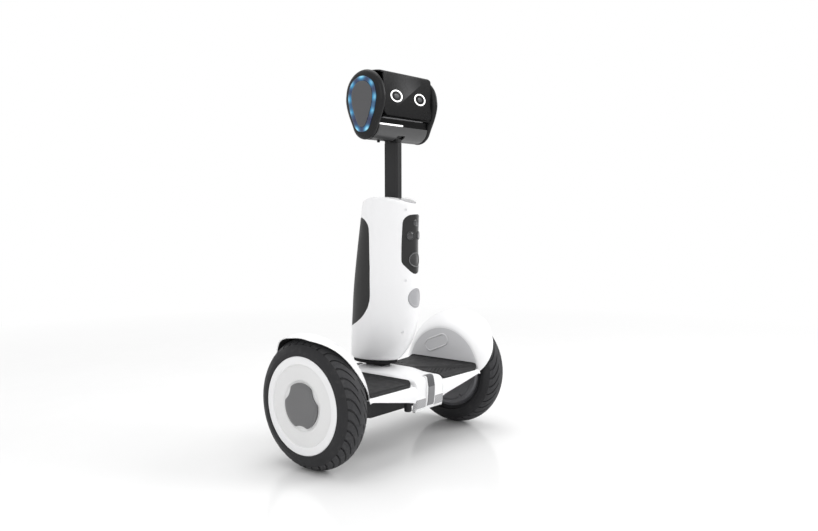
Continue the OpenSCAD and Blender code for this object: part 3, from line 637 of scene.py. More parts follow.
def fill(outer, holes=(), step=5.0, extra=None):
    """Triangulates an outline with holes, with an even scatter of points inside."""
    pts, edges = [], []
    for lp in [outer, *holes]:
        o = len(pts)
        pts += [tuple(p) for p in lp]
        edges += [(o + i, o + (i + 1) % len(lp)) for i in range(len(lp))]
    arr = np.asarray(outer, float)
    x0, y0 = arr.min(0)
    x1, y1 = arr.max(0)
    hs = step * math.sqrt(3) / 2
    g = []
    r = 0
    y = y0 + hs / 2
    while y < y1:
        x = x0 + (step / 2 if r % 2 else 0)
        while x < x1:
            g.append((x, y))
            x += step
        y += hs
        r += 1
    if extra:
        g += list(extra)
    if g:
        g = np.asarray(g)
        ok = inside(outer, g) & (edge_dist(outer, g) > step * 0.45)
        for h in holes:
            ok &= ~inside(h, g) & (edge_dist(h, g) > step * 0.45)
        pts += [tuple(p) for p in g[ok]]
    v, e, f, *_ = delaunay_2d_cdt([Vector(p) for p in pts], edges, [], 0, 1e-6)
    v = [tuple(p) for p in v]
    cen = np.asarray([[sum(v[i][0] for i in q) / len(q), sum(v[i][1] for i in q) / len(q)] for q in f])
    ok = inside(outer, cen)
    for h in holes:
        ok &= ~inside(h, cen)
    out = []
    for q, k in zip(f, ok):
        if k:
            q = list(q)
            a = sum(v[q[i - 1]][0] * v[q[i]][1] - v[q[i]][0] * v[q[i - 1]][1] for i in range(len(q)))
            out.append(q if a > 0 else q[::-1])
    return v, out


def circle(cx, cy, r, n=32):
    return [(cx + r * math.cos(2 * pi * i / n), cy + r * math.sin(2 * pi * i / n)) for i in range(n)]


def rrect(x0, y0, x1, y1, r, n=6):
    return round_poly([(x0, y0), (x1, y0), (x1, y1), (x0, y1)], r, n)


def slab(outline, lo, hi, axis, edge=0.8, seg=3, holes=()):
    """A plate with rounded edges: outline (a, b) pushed along axis from lo to hi.
    axis X maps (a, b) to (y, z), axis Y to (x, z), axis Z to (x, y)."""
    outline = ccw(outline)

    def place(p, h):
        a, b = p
        return {"X": (h, a, b), "Y": (a, h, b), "Z": (a, b, h)}[axis]
    s = 1 if hi > lo else -1
    rows = []
    for k in range(seg + 1):
        t = pi / 2 * k / seg
        rows.append((offset_poly(outline, -edge * (1 - math.sin(t))), lo + s * edge * (1 - math.cos(t))))
    for k in range(seg + 1):
        t = pi / 2 * k / seg
        rows.append((offset_poly(outline, -edge * (1 - math.cos(t))), hi - s * edge * (1 - math.sin(t))))
    v, f = [], []
    n = len(outline)
    for ring, h in rows:
        v += [place(p, h) for p in ring]
    f += grid_faces(len(rows), n, close_c=True)
    fv, ff = fill(rows[0][0], (), max(6.0, min(14.0, (max(p[0] for p in outline) - min(p[0] for p in outline)) / 4)))
    for ring, h, sgn in ((rows[0][0], lo, -1), (rows[-1][0], hi, 1)):
        fv, ff = fill(ring, (), 8.0)
        o = len(v)
        v += [place(p, h) for p in fv]
        f += [tuple(i + o for i in (q if sgn > 0 else q[::-1])) for q in ff]
    return v, f


def bool_cut(ob, cutters, op="DIFFERENCE"):
    """Adds exact boolean modifiers that cut solid shapes out of a piece, and returns the cutting objects with their
    meshes.
    """
    tmp = []
    for i, (v, f) in enumerate(cutters):
        me = bpy.data.meshes.new("cut")
        me.from_pydata([(p[0] * .001, p[1] * .001, p[2] * .001) for p in v], [], f)
        bm = bmesh.new(); bm.from_mesh(me)
        bmesh.ops.remove_doubles(bm, verts=bm.verts, dist=1e-6)
        bmesh.ops.recalc_face_normals(bm, faces=bm.faces)
        bm.to_mesh(me); bm.free()
        co = bpy.data.objects.new("cut", me)
        bpy.context.scene.collection.objects.link(co)
        m = ob.modifiers.new("cut", "BOOLEAN")
        m.operation = op
        m.solver = "EXACT"
        m.object = co
        tmp.append((co, me))
        bpy.context.view_layer.update()
        dg = bpy.context.evaluated_depsgraph_get()
    return tmp


def bake(ob, name=None):
    """Turns a piece's modifiers into plain mesh."""
    dg = bpy.context.evaluated_depsgraph_get()
    me = bpy.data.meshes.new_from_object(ob.evaluated_get(dg))
    return me


def circ_solid(r, centre, axis, h0, h1, n=40):
    return lathe([(0, h0), (r, h0), (r, h1), (0, h1)], centre, axis, n)

# =========================================================================
# Wheels
# =========================================================================
TRACK, SEC_R = 238.4, 33.7
RING = 133.5 - SEC_R
PITCHES = 38
PITCH = 2 * pi * 133.5 / PITCHES
SHOULDER = 29.0


def sweep_of(w):
    """How far along the tread a groove has run when it is w across it."""
    L = 2 * PITCH
    c = L * (1 - min(abs(w), SHOULDER) / SHOULDER) ** 1.8
    return c if w > 0 else 2 * L - c


def groove_depth(cp, w):
    a = abs(cp)
    side = 1 - clamp((a - 1.8) / 0.75)
    k = abs(w)
    ends = clamp((k - 3.6) / 1.6) * (1 - clamp((k - 29.2) / 1.2))
    # every groove is a little wider and deeper where it opens at the shoulder
    return side * ends * (2.2 + 0.5 * clamp((k - 18) / 10))


def tyre(s):
    cps = [-2.55, -1.8, -0.9, 0.9, 1.8, 2.55, 5.0, 8.8, 12.6, 16.6]
    ws = [-52.93, -50, -47, -45.4, -44.8, -43, -39, -35, -33, -31.6, -30.9, -30.3, -29.4]
    ws += [-28.6 + i * 2.2 for i in range(11)] + [-5.4, -4.6, -3.6, -1.6]
    ws = ws + [0] + [-w for w in reversed(ws)]
    # rest of the closed section: seat for the cover, beads and inner cavity
    tail = [(98.6, 271.8), (98.6, 267.2), (97.8, 266), (92, 264), (92, 259.8), (84.05, 259.8), (84.05, 253), (88, 253)]
    tail += [(RING + 4 + 21 * math.cos(deg(a)), TRACK + 21 * math.sin(deg(a))) for a in range(120, -121, -20)]
    tail += [(88, 223.8), (84.05, 223.8), (84.05, 217), (92, 217), (92, 213), (97.5, 211), (99, 209.4), (99, 205.2)]
    v, f, groove_shade, tread = [], [], [], []
    cols = PITCHES * len(cps)
    for p in range(PITCHES):
        for cp in cps:
            for w in ws:
                th = (p * PITCH + cp + sweep_of(w)) / 133.5
                d = groove_depth(cp, w)
                k = abs(w)
                r = SEC_R - d
                ridge = math.exp(-((k - 30.6) / 0.5) ** 2) * 0.35 + math.exp(-((k - 45.1) / 0.55) ** 2) * 0.45
                r += ridge
                a = w / SEC_R
                rr, x = RING + r * math.cos(a), TRACK + r * math.sin(a)
                v.append((x, -rr * math.sin(th), AXLE_Z + rr * math.cos(th)))
                # painted shade mask: the deeper the groove, the darker it is painted
                groove_shade.append(min(1, d / 2.2))
                tread.append(1.0 if k < 29.5 else 0.0)
            th = (p * PITCH + cp) / 133.5
            for rr, x in tail:
                v.append((x, -rr * math.sin(th), AXLE_Z + rr * math.cos(th)))
                groove_shade.append(0.0)
                tread.append(0.0)
    m = len(ws) + len(tail)
    for i in range(cols):
        j = (i + 1) % cols
        for k in range(m):
            l = (k + 1) % m
            # these faces have no shift; tyre_piece builds its own, with the last section column shifted by four pitches
            # on the inner side, where the sweep has ended
            f.append((i * m + k, i * m + l, j * m + l, j * m + k))
    return v, f, groove_shade, tread


# The inner side of the tread ends four whole pitches further round than the outer side does,
# so the plain parts of the section are turned to meet each side without a twist.
def tyre_piece(s, body, name):
    cps = 10
    v, f, g, t = tyre(s)
    m = len(v) // (PITCHES * cps)
    nw = m - (8 + 13 + 8)
    cols = PITCHES * cps
    shift = 4 * cps
    faces = []
    for i in range(cols):
        j = (i + 1) % cols
        for k in range(m):
            l = (k + 1) % m
            if k == m - 1:
                # closing strip back to the inner side of the tread, which has run on by four pitches
                a, b = (i - shift) % cols, (j - shift) % cols
                faces.append((i * m + k, a * m + 0, b * m + 0, j * m + k))
            else:
                faces.append((i * m + k, i * m + l, j * m + l, j * m + k))
    v, faces = mirror_x(v, faces, s)
    make(name, v, faces, TYRE, body, "tyre_left" if s < 0 else "tyre_right", sharp=50,
         attrs={"groove_shade": g, "tread": t}, recalc=True, wn=False)


HUBWHITE2 = plastic("hub_inner_m", "#dfdfdf", 0.4, var=0.03, rvar=0.1, grain=0.00001, grain_scale=2000, wear=0.1).m


def hub_cover_piece(s, body, name):
    prof = [(70, 263.4), (78, 263.4), (78, 266.6), (97.6, 266.6), (98.5, 267.6), (98.5, 269.3)]
    prof += [(98.5 - 2.1 * (1 - math.cos(deg(a))), 269.5 + 2.1 * math.sin(deg(a))) for a in (18, 36, 54, 72, 90)]
    prof += [(94.5, 271.75), (90.5, 272.0), (86.5, 272.1), (83.9, 272.1), (83.0, 271.8), (82.4, 271.1), (82.0, 270.3), (81.5, 269.75), (80.8, 269.6),
             (79.6, 269.75), (76, 270.0), (70, 270.2), (62, 270.3), (54, 270.2), (51.4, 270.0), (50.2, 269.3), (49.4, 268.5), (47, 268.3), (46, 268.3), (30, 268.9), (20, 268.9), (20, 266.6), (70, 266.6)]
    v, f = wheel_lathe(prof, 160)
    v, f = mirror_x(v, f, s)
    inner = [1 if sum(math.hypot(v[i][1], v[i][2] - AXLE_Z) for i in q) / len(q) < 81.9 else 0 for q in f]
    make(name, v, f, HUBWHITE, body, "hub_cover_left" if s < 0 else "hub_cover_right", sharp=40, recalc=True,
         mats=[HUBWHITE, HUBWHITE2], fmat=inner)


def lobed(a, inset):
    """Radius of the three-lobed cap at angle a from straight up, with its edge moved in by inset."""
    R = 46 - inset
    best = R
    for na in (60, 180, 300):
        d = deg(((math.degrees(a) - na + 180) % 360) - 180)
        D, q = 76.0, 36.6 + inset
        sn = D * math.sin(abs(d))
        if sn < q and abs(d) < pi / 2:
            r = D * math.cos(d) - math.sqrt(q * q - sn * sn)
            # rounded meeting of lobe and notch
            k = 3.0
            h = clamp(0.5 + 0.5 * (best - r) / k)
            best = lerp(best, r, h) - k * h * (1 - h)
    return best


def hub_cap_piece(s, body, name):
    n = 144
    # (inset of the outline, x); the flat face is drawn in further on the lobes, which leaves a facet there
    rows = [(1.6, 268.6), (0.2, 269.2), (0.0, 270.2), (0.0, 271.9), (0.25, 272.5), (0.8, 272.95)]
    v = []
    for ins, x in rows:
        for i in range(n):
            a = 2 * pi * i / n
            r = lobed(a, ins)
            v.append((x, -r * math.sin(a), AXLE_Z + r * math.cos(a)))
    for ins, x in ((3.6, 274.15), (4.6, 274.4), (6.0, 274.5), (14, 274.45), (24, 274.3), (34, 274.2)):
        for i in range(n):
            a = 2 * pi * i / n
            lobe = 0.5 + 0.5 * math.cos(3 * a)
            r = lobed(a, 0.8) - (ins - 0.8) * (0.62 + 1.05 * lobe if ins < 10 else 1.0 + 0.6 * lobe * max(0, (34 - ins) / 34))
            r = max(r, 4 + (40 - ins) * 0.1)
            v.append((x, -r * math.sin(a), AXLE_Z + r * math.cos(a)))
    nr = len(rows) + 6
    f = grid_faces(nr, n, close_c=True)
    c = len(v)
    v.append((274.2, 0, AXLE_Z))
    f += [((nr - 1) * n + i, (nr - 1) * n + (i + 1) % n, c) for i in range(n)]
    c = len(v)
    v.append((268.6, 0, AXLE_Z))
    f += [((i + 1) % n, i, c) for i in range(n)]
    v, f = mirror_x(v, f, s)
    make(name, v, f, CAP, body, "hub_cap_left" if s < 0 else "hub_cap_right", sharp=26, recalc=True)


def motor_cover_piece(s, body, name):
    prof = [(16, 219), (16, 205), (26.5, 205), (28, 205.6), (29.2, 206.8), (32, 207.4), (41, 207.5), (42, 206.5), (46.5, 206.4), (47.5, 207.5),
            (57, 207.7), (58.5, 208.6), (60.5, 209.2), (64, 209.2), (65.5, 208.6), (74.0, 208.4), (75.2, 207.2), (77, 206.4), (83, 206.6), (85.5, 208.4), (87, 210.2),
            (88, 211.4), (88, 213.5), (24, 213.5), (22, 219)]
    parts = [wheel_lathe(prof, 144)]
    for i in range(6):
        a = 2 * pi * i / 6 + pi / 6
        y, z = -72.5 * math.sin(a), AXLE_Z + 72.5 * math.cos(a)
        parts.append(lathe([(0, 1.0), (1.6, 1.0), (1.7, 0.1), (3.6, 0.1), (4.2, 0.5), (4.4, 2.6), (4.4, 4.2), (0, 4.2)], (206.0, y, z), (1, 0, 0), 20))
        # stiffening rib from hub to edge
        for sgn in (0,):
            b = a + pi / 6
            u = Vector((0, -math.sin(b), math.cos(b)))
            w = Vector((0, math.cos(b), math.sin(b)))
            c = Vector((0, 0, AXLE_Z))
            pv = []
            for r, hw, x in ((30, 3.2, 206.9), (56.5, 2.2, 207.0)):
                for dw, dx in ((-hw - .9, 1.2), (-hw, 0), (hw, 0), (hw + .9, 1.2)):
                    p = c + u * r + w * dw
                    pv.append((x + dx, p.y, p.z))
            parts.append((pv, [(0, 1, 5, 4), (1, 2, 6, 5), (2, 3, 7, 6), (0, 3, 2, 1), (4, 5, 6, 7), (0, 4, 7, 3)]))
    v, f = join(*parts)
    v, f = mirror_x(v, f, s)
    make(name, v, f, CAST2, body, "motor_cover_left" if s < 0 else "motor_cover_right", sharp=32, recalc=True)


CAST2 = plastic("motor_cast_m", "#6b6b6e", 0.42, var=0.10, rvar=0.16, grain=0.00005, grain_scale=1400, wear=0.5, scuff=0.12, metal=0.35).m


def rim_piece(s, body, name):
    prof = [(68, 213.6), (91, 213.6), (91.6, 214.2), (91.6, 216.2), (91, 216.8), (84.6, 216.8), (84, 217.6), (84, 259), (84.6, 260), (91, 260), (91.5, 260.6),
            (91.5, 262.7), (91, 263.3), (16, 263.3), (16, 249.5), (22, 249.5), (24, 257), (64, 257), (68, 254)]
    v, f = wheel_lathe(prof, 128)
    v, f = mirror_x(v, f, s)
    make(name, v, f, RIM, body, "rim_left" if s < 0 else "rim_right", sharp=32, recalc=True)


for s, sd in ((-1, "left"), (1, "right")):
    tyre_piece(s, "wheel_" + sd, "tyre_tread_" + sd)
    hub_cover_piece(s, "wheel_" + sd, "hub_disc_" + sd)
    hub_cap_piece(s, "wheel_" + sd, "hub_lobed_cap_" + sd)
    motor_cover_piece(s, "wheel_" + sd, "motor_inner_cover_" + sd)
    rim_piece(s, "wheel_" + sd, "rim_drum_" + sd)

# =========================================================================
# Base: deck, spine, nose, fenders, mats
# =========================================================================


def lift(d):
    return 0 if d <= 0 else 22 - math.sqrt(484 - min(d, 18) ** 2)


def deck_h(x):
    return 147.2 + lift(66 - x) + lift(x - 171)


ARCH = [(44, 109.5), (53, 114), (74, 119), (98, 123.5), (121, 128), (142, 132), (162, 136), (190, 141)]
WALL = [(101, 147.2), (105, 146.2), (108, 143), (109.4, 138), (109.6, 128), (108, 116), (105, 106)]


def interp(tab, x):
    if x <= tab[0][0]:
        return tab[0][1]
    for (a, b), (c, d) in zip(tab, tab[1:]):
        if x <= c:
            return b + (d - b) * (x - a) / (c - a)
    return tab[-1][1]


def hermite(tab, x):
    """Smooth curve through stations, the same rule the CAD uses."""
    i = 0
    while i < len(tab) - 2 and x >= tab[i + 1][0]:
        i += 1
    h = tab[i + 1][0] - tab[i][0]
    u = (x - tab[i][0]) / h

    def sl(k):
        a, b = max(k - 1, 0), min(k + 1, len(tab) - 1)
        return (tab[b][1] - tab[a][1]) / (tab[b][0] - tab[a][0])
    return ((2 * u ** 3 - 3 * u * u + 1) * tab[i][1] + (u ** 3 - 2 * u * u + u) * h * sl(i)
            + (3 * u * u - 2 * u ** 3) * tab[i + 1][1] + (u ** 3 - u * u) * h * sl(i + 1))


def wall_y(z):
    """How far out the front wall stands at a height."""
    tab = [(106, 105), (116, 108), (128, 109.6), (138, 109.4), (143, 108)]
    return hermite(tab, z)


def deck_path(x):
    """Half of the deck's section at x, from the middle out and down to the lower edge, as (y, z)."""
    zl = interp(ARCH, x)
    pts = []
    for y in (0, 20, 40, 55, 66, 76, 84, 90, 95, 98.5, 101):
        pts.append((y, 147.2 + (deck_h(x) - 147.2) * (1 - smooth((y - 84) / 17))))
    # rolled front edge, then the wall
    for t in (15, 30, 45, 60, 75):
        pts.append((101 + 7.4 * math.sin(deg(t)), 147.2 - 7.4 * (1 - math.cos(deg(t))) * 1.0))
    z0 = 147.2 - 7.4
    n = 7
    for k in range(n + 1):
        z = lerp(min(z0, 200), zl, k / n) if zl < z0 else zl
        pts.append((wall_y(z), z))
    return pts


def deck_piece(s, sd):
    xs = [45.3, 47, 50, 53, 57, 61, 66, 72, 80, 90, 100, 112, 125, 138, 150, 160, 168, 173, 177, 181, 185, 187.5, 189.4]
    v = []
    for x in xs:
        half = deck_path(max(x, 47) if x < 47 else x)
        p = [(-y, z) for y, z in reversed(half)] + half[1:]
        v += [(x, y, z) for y, z in p]
    nc = len(v) // len(xs)
    f = grid_faces(len(xs), nc)
    v, f = mirror_x(v, f, s)
    ob = make("deck_shell_" + sd, v, [q[::-1] for q in f], WHITE, "base", "deck_cover" if s > 0 else (), sharp=42,
              solid=2.6, bevel=0.7, bevel_angle=50)
    return ob


deck_l, deck_r = deck_piece(-1, "left"), deck_piece(1, "right")

MIDDLE = [(-109, 151.5)]


def spine_top(y):
    if y < -89:
        return 163.5 - ((-89 - y) / 20) ** 4 * 12
    if y < -54:
        return 163.5 + (y + 89) * 2 / 35
    if y < -30:
        return 165.5 + (y + 54) * 5.5 / 24
    if y < 60:
        return 171
    return 171 - ((y - 60) / 46) ** 2 * 14


SPINE_Y = [-110, -89, -72, -54, -44, -30, -10, 10, 30, 60, 72, 84, 96, 104]
SPINE_T = [(y, spine_top(max(y, -104))) for y in SPINE_Y]


def spine_z(x, y):
    """Top surface of the spine."""
    T = hermite([(-104, 163.2), (-92, 163.4), (-72, 164.4), (-58, 165.4), (-44, 168.4), (-30, 170.7), (-10, 171), (60, 170.8), (74, 169.6), (88, 166.0), (98, 162.6), (106, 160.4)], clamp(y, -104, 106))
    c = clamp(abs(x) / 45)
    s = math.sqrt(max(0, 1 - c * c))
    return 148.6 + (T - 148.6) * s ** 0.4


def spine_piece():
    N = 34
    xs = [-45 * math.cos(pi * i / N) for i in range(N + 1)]
    ys = [-97.6, -94, -90, -84, -76, -68, -60, -54, -48, -42, -36, -30, -22, -12, 0, 12, 24, 36, 48, 58, 66, 74, 82, 90, 97.6]
    rows = []
    wall = [(93, 104.6), (96, 106.5), (108, 107.7), (118, 108.4), (138, 108.9), (152, 108.9), (160, 107.2)]
    for side in (-1, 1):
        roll = []
        for k in range(8, -1, -1):
            t = deg(90 * k / 8)
            roll.append(t)
        part = []
        # from the lip at the bottom up the nose and over its edge
        for q in range(0, 12):
            part.append(("wall", q / 11))
        for t in roll[1:-1]:
            part.append(("roll", t))
        rows.append((side, part))
    v, nrow = [], 0

    def nose(side, kind, val):
        line = []
        for x in xs:
            y0 = -97.6 * 1 if side < 0 else 97.6
            z0 = spine_z(x, y0)
            rad = 10.6
            if kind == "wall":
                z = lerp(93.0, z0 - rad, val)
                y = interp(wall, z)
                # no plan curvature: the offset below is zero, so the nose is not made proud in its middle
                y += 0.0
            else:
                y = 98.0 + 10.9 * math.sin(val)
                z = z0 - rad * (1 - math.cos(val))
                y = min(y, interp(wall, z) + 0.0)
            line.append((x, side * y, z))
        return line
    lip = [[(x, -98, 93.4) for x in xs], [(x, -103.2, 92.9) for x in xs]]
    grid = [[(x * 0.995, -96, 96.5) for x in xs]] + lip
    grid += [nose(-1, k, val) for k, val in rows[0][1]]
    grid += [[(x, y, spine_z(x, y)) for x in xs] for y in ys]
    back = [nose(1, k, val) for k, val in rows[1][1]]
    grid += list(reversed(back))
    grid += [[(x, -y, z) for x, y, z in ln] for ln in reversed([[(x * 0.995, -96, 96.5) for x in xs]] + lip)]
    # sides: drop to the deck
    full = []
    for ln in grid:
        a, b = ln[0], ln[-1]
        low = min(146.6, a[2] - 0.5) if a[2] > 147 else a[2]
        ext = a[2] > 147
        full.append([(a[0] - (0.3 if ext else 0), a[1], low)] + ln + [(b[0] + (0.3 if ext else 0), b[1], low)])
    for ln in full:
        v += ln
    f = grid_faces(len(full), len(full[0]))
    ob = make("spine_and_nose_shell", v, [q for q in f], WHITE, "base", "spine_cover", sharp=40, solid=2.2, recalc=False)
    return ob


spine = spine_piece()


def nose_trim():
    outer = [(-97, 165.0), (-101, 165.8), (-105, 165.7), (-108, 164.6), (-110.2, 162.2), (-112.3, 153), (-113.7, 146), (-114.4, 142), (-114.3, 135), (-113.9, 126),
             (-113.2, 117), (-112, 109), (-110.6, 103.4), (-109.2, 101)]
    inner = [(-106.5, 100.6), (-107.4, 110), (-108, 120), (-108.4, 140), (-108.2, 152), (-106, 158), (-102, 162), (-97, 163)]
    for side, nm in ((1, "front"), (-1, "rear")):
        top = [p for p in outer if p[1] >= 142]
        low = [p for p in outer if p[1] <= 142]
        for pts, mt, part in ((top + [(-108.4, 142.2), (-108.2, 152), (-106, 158), (-102, 162), (-97, 163)], TRIM_DK, "upper"),
                              (low + [(-106.5, 100.6), (-107.4, 110), (-108, 120), (-108.4, 140), (-108.4, 141.9)], TRIM, "lower")):
            if part == "lower":
                pts = [(y - 0.0, z) if z < 141.99 else (y, 141.75) for y, z in pts]
            v, f = slab(pts, -10.4, 10.4, "X", edge=0.8, seg=3)
            if side < 0:
                v = [(x, -y, z) for x, y, z in v]
                f = [q[::-1] for q in f]
            make("nose_band_%s_%s" % (part, nm), v, f, mt, "base", "nose_band" if (part, side) == ("upper", 1) else (), sharp=35, recalc=True)
        # slim white ribs that frame the band
        for s in (-1, 1):
            rib = [(y * 1.0 + 1.2 * (1 if z < 160 else 0.4), z - (0.6 if z > 160 else 0)) for y, z in outer]
            rib = [(y, z) for y, z in rib] + inner
            v, f = slab(rib, s * 10.65, s * 13.6, "X", edge=1.1, seg=3)
            if side < 0:
                v = [(x, -y, z) for x, y, z in v]
                f = [q[::-1] for q in f]
            make("nose_rib_%s_%s" % (nm, "l" if s < 0 else "r"), v, f, WHITE, "base", (), sharp=35, recalc=True)


nose_trim()


def lamps():
    for side, nm, node, mt, sl in ((1, "front", "headlight_lenses", LENS_GREY, "lens_grey"), (-1, "rear", "tail_light", TAIL_RED, "tail_red")):
        for s in (-1, 1):
            # cover: wraps round the corner at the nose's side
            out = rrect(14.8, 98.2, 50.6, 118.6, 1.6, 4)
            fv, ff = fill(resample(out, 2.2), (), 3.0)

            def face_y(x, z, d=0.0):
                y = hermite([(97, 107.2), (104, 108.9), (110, 109.7), (119, 109.5)], z)
                y -= 6.4 * clamp((x - 42.6) / 8.0) ** 1.9
                return y + d
            v = [(x, -face_y(x, z), z) for x, z in fv]
            v = [(s * x, y * side, z) for x, y, z in v]
            fc = ff if s * side > 0 else [q[::-1] for q in ff]
            make("lamp_cover_%s_%s" % (nm, "l" if s < 0 else "r"), v, fc, mt, "base", node if s > 0 else (), sharp=40, solid=3.2, bevel=0.5)
            # white frame round the cover
            o2 = resample(rrect(13.9, 97.0, 50.9, 119.8, 2.4, 5), 2.0)
            i2 = resample(rrect(15.0, 98.4, 50.5, 118.4, 1.5, 4), 2.0)
            fv, ff = fill(o2, [i2], 2.0)
            v = [(s * x, -side * face_y(x, z, 0.55), z) for x, z in fv]
            # the frame is open at its outer end, where the cover runs on round the corner
            fc = [q for q in (ff if s * side > 0 else [q[::-1] for q in ff]) if sum(abs(v[i][0]) for i in q) / len(q) < 48.6]
            make("lamp_frame_%s_%s" % (nm, "l" if s < 0 else "r"), v, fc, WHITE, "base", (), sharp=40, solid=3.4, bevel=0.5)


lamps()


def posts():
    first = True
    for fy in (-1, 1):
        for s in (-1, 1):
            pv, pf = lathe([(0, 94), (2.6, 94), (2.8, 96.5), (4.2, 96.5), (4.6, 94.6), (6.8, 94.4), (7.7, 95.3), (8, 96.8), (8, 103), (7.7, 103.5), (7.7, 104.3), (8, 104.8), (8, 121.4), (7.2, 122), (0, 122)],
                           (s * 54, fy * 92, 0), (0, 0, 1), 40)
            bv, bf = slab(rrect(46, min(fy * 92, fy * 84.5), 55, max(fy * 92, fy * 84.5), 1.2), 96, 121.8, "Z", edge=0.8)
            bv = [(s * x, y, z) for x, y, z in bv]
            v, f = join((pv, pf), (bv, bf))
            make("nose_post_%s_%s" % ("front" if fy < 0 else "rear", "l" if s < 0 else "r"), v, f, DARK, "base", "nose_posts" if first else (), sharp=35, recalc=True)
            first = False


posts()


# ---- foot mats ------------------------------------------------------------

def mat_top(x, y):
    z = deck_h(x) + 6.0
    # the front and back ends roll down to the deck's edge
    e = smooth((abs(y) - 86) / 17)
    z -= 2.2 * e
    return z


def mat_piece(s, sd):
    out = resample(round_poly([(49.6, -102.6), (188.6, -102.6), (188.6, 102.6), (49.6, 102.6)], [13, 9, 9, 13], 8), 3.0)
    dots = []
    r = 0
    x = 66.0
    while x < 172:
        y = -74 + (4.75 if r % 2 else 0)
        while y <= 74.01:
            dots.append((x, y))
            y += 9.5
        x += 8.6
        r += 1
    holes, dome_v, dome_f, dot = [], [], [], []
    fv, ff = fill(out, (), 5.0)
    v = [(x, y, mat_top(x, y)) for x, y in fv]
    # rounded rim and side
    top_n = len(v)
    rim = []
    rings = [(-0.0, 0.0), (0.5, -0.25), (0.85, -0.9), (0.95, -2.2), (0.95, -4.5), (-1.6, -4.5), (-1.9, -2.9)]
    o = ccw(out)
    nn = len(o)
    base = []
    for d, dz in rings:
        ring = offset_poly(o, d - 0.95)
        base.append([(p[0], p[1], max(mat_top(*o[i]) + dz, 147.0)) for i, p in enumerate(ring)])
    fv, ff = fill(offset_poly(o, -0.95), (), 4.2)
    v = [(x, y, mat_top(x, y)) for x, y in fv]
    f = list(ff)
    b = len(v)
    for ring in base:
        v += ring
    f += [q[::-1] for q in grid_faces(len(base), nn, close_c=True, base=b)]
    bot = len(v)
    v += [(p[0], p[1], p[2]) for p in base[-1]]
    f.append(tuple(reversed(range(bot, bot + nn))))
    attr = [0.0] * len(v)
    for cx, cy in dots:
        prof = [(2.35, -0.3), (2.2, 0.12), (1.9, 0.5), (1.3, 0.86), (0.65, 1.04), (0, 1.1)]
        n = 14
        ring_idx = []
        for rr, h in prof:
            if rr == 0:
                ring_idx.append([len(v)])
                v.append((cx, cy, mat_top(cx, cy) + h))
                attr.append(1.0)
                continue
            ring_idx.append(list(range(len(v), len(v) + n)))
            for i in range(n):
                a = 2 * pi * i / n
                px, py = cx + rr * math.cos(a), cy + rr * math.sin(a)
                v.append((px, py, mat_top(px, py) + h))
                attr.append(clamp(h))
        for A, B in zip(ring_idx, ring_idx[1:]):
            for i in range(n):
                j = (i + 1) % n
                f.append((A[i], A[j], B[j], B[i]) if len(B) > 1 else (A[i], A[j], B[0]))
        f.append(tuple(reversed(ring_idx[0])))
    v, f = mirror_x(v, f, s)
    make("foot_mat_" + sd, v, f, MAT, "mat_" + sd, "footmat_" + sd, sharp=45, attrs={"dot": attr}, weld=0.0)


mat_piece(-1, "left")
mat_piece(1, "right")

# ---- fenders --------------------------------------------------------------
TRIMLINE = [(143, 190.5), (157, 201), (178, 216), (190.3, 224), (203.6, 231), (214, 236.5), (225.7, 241.5), (245.3, 253), (259.2, 265), (267, 275)]


def trim_z(x):
    """Lowest height of the fender at a distance across."""
    if x <= 190.5:
        return 143
    tab = [(b, a) for a, b in TRIMLINE]
    return hermite(tab, x)


def fender_sweep(t, u):
    w = 65 - max(t, 0)
    b = 142 - 104 - t
    u = clamp(u)
    return 104 + b * (1 - (1 - u) ** 1.5) ** (1 / 1.5), 255 - w * (1 - u)


# near-black for the fender's hollow: partly a dark liner, partly painted shade under the fender
LINER_AND_SHADE = plastic("fender_liner_and_shade_m", "#1a1a1b", 0.6, var=0.1, rvar=0.1, grain=0.00003, grain_scale=1400, wear=0.1).m


def fender_piece(s, sd):
    outer = [(r, 190) for r in (10, 20, 40, 60, 80, 92, 99)]
    N = 26
    us = [1 - math.cos(pi / 2 * i / N) for i in range(N + 1)]
    outer += [fender_sweep(0, u) for u in us]
    outer += [(141.75, 258), (141.0, 262.5), (139.7, 266.6), (137.9, 270.2), (136.0, 272.9)]
    inner = [(r, 192) for r in (10, 20, 40, 60, 80, 92, 99)]
    inner += [fender_sweep(2, u) for u in us]
    inner += [(139.7, 258), (138.9, 262), (137.7, 265.8), (135.9, 269.3), (134.2, 271.9)]
    # rounded outer lip
    m = len(outer)
    lip = [(135.4, 273.5), (134.7, 273.6), (134.1, 273.0)]
    loop = outer + lip + list(reversed(inner))
    nT = 72
    v = []
    for r, x in loop:
        z = trim_z(x)
        c = clamp((z - AXLE_Z) / r, -1, 1)
        tm = math.acos(c)
        for i in range(nT + 1):
            t = -tm + 2 * tm * i / nT
            v.append((x, -r * math.sin(t), AXLE_Z + r * math.cos(t)))
    nl, nc = len(loop), nT + 1
    f = grid_faces(nl, nc, close_r=True)
    # end caps join each outer station to its inner one
    for col, flip in ((0, False), (nT, True)):
        for i in range(m - 1):
            a, b = i, i + 1
            c, d = nl - 1 - i, nl - 2 - i
            q = (a * nc + col, b * nc + col, d * nc + col, c * nc + col)
            f.append(q[::-1] if flip else q)
        q = [(m - 1) * nc + col] + [(m + k) * nc + col for k in range(3)] + [(m + 3) * nc + col]
        f.append(tuple(q[::-1] if flip else q))
    v, f = mirror_x(v, f, s)
    # the hollow side over the tyre is coloured near-black: partly a dark liner, partly painted shade under the fender
    liner_and_shade = [1 if k < (nc - 1) * nl and m + 3 <= k // (nc - 1) < nl - 1 else 0 for k in range(len(f))]
    make("fender_shell_" + sd, v, f, WHITE, "base", "fender_" + sd, sharp=40, recalc=True, bevel=0.6, bevel_angle=48,
         mats=[WHITE, LINER_AND_SHADE], fmat=liner_and_shade)


fender_piece(-1, "left")
fender_piece(1, "right")


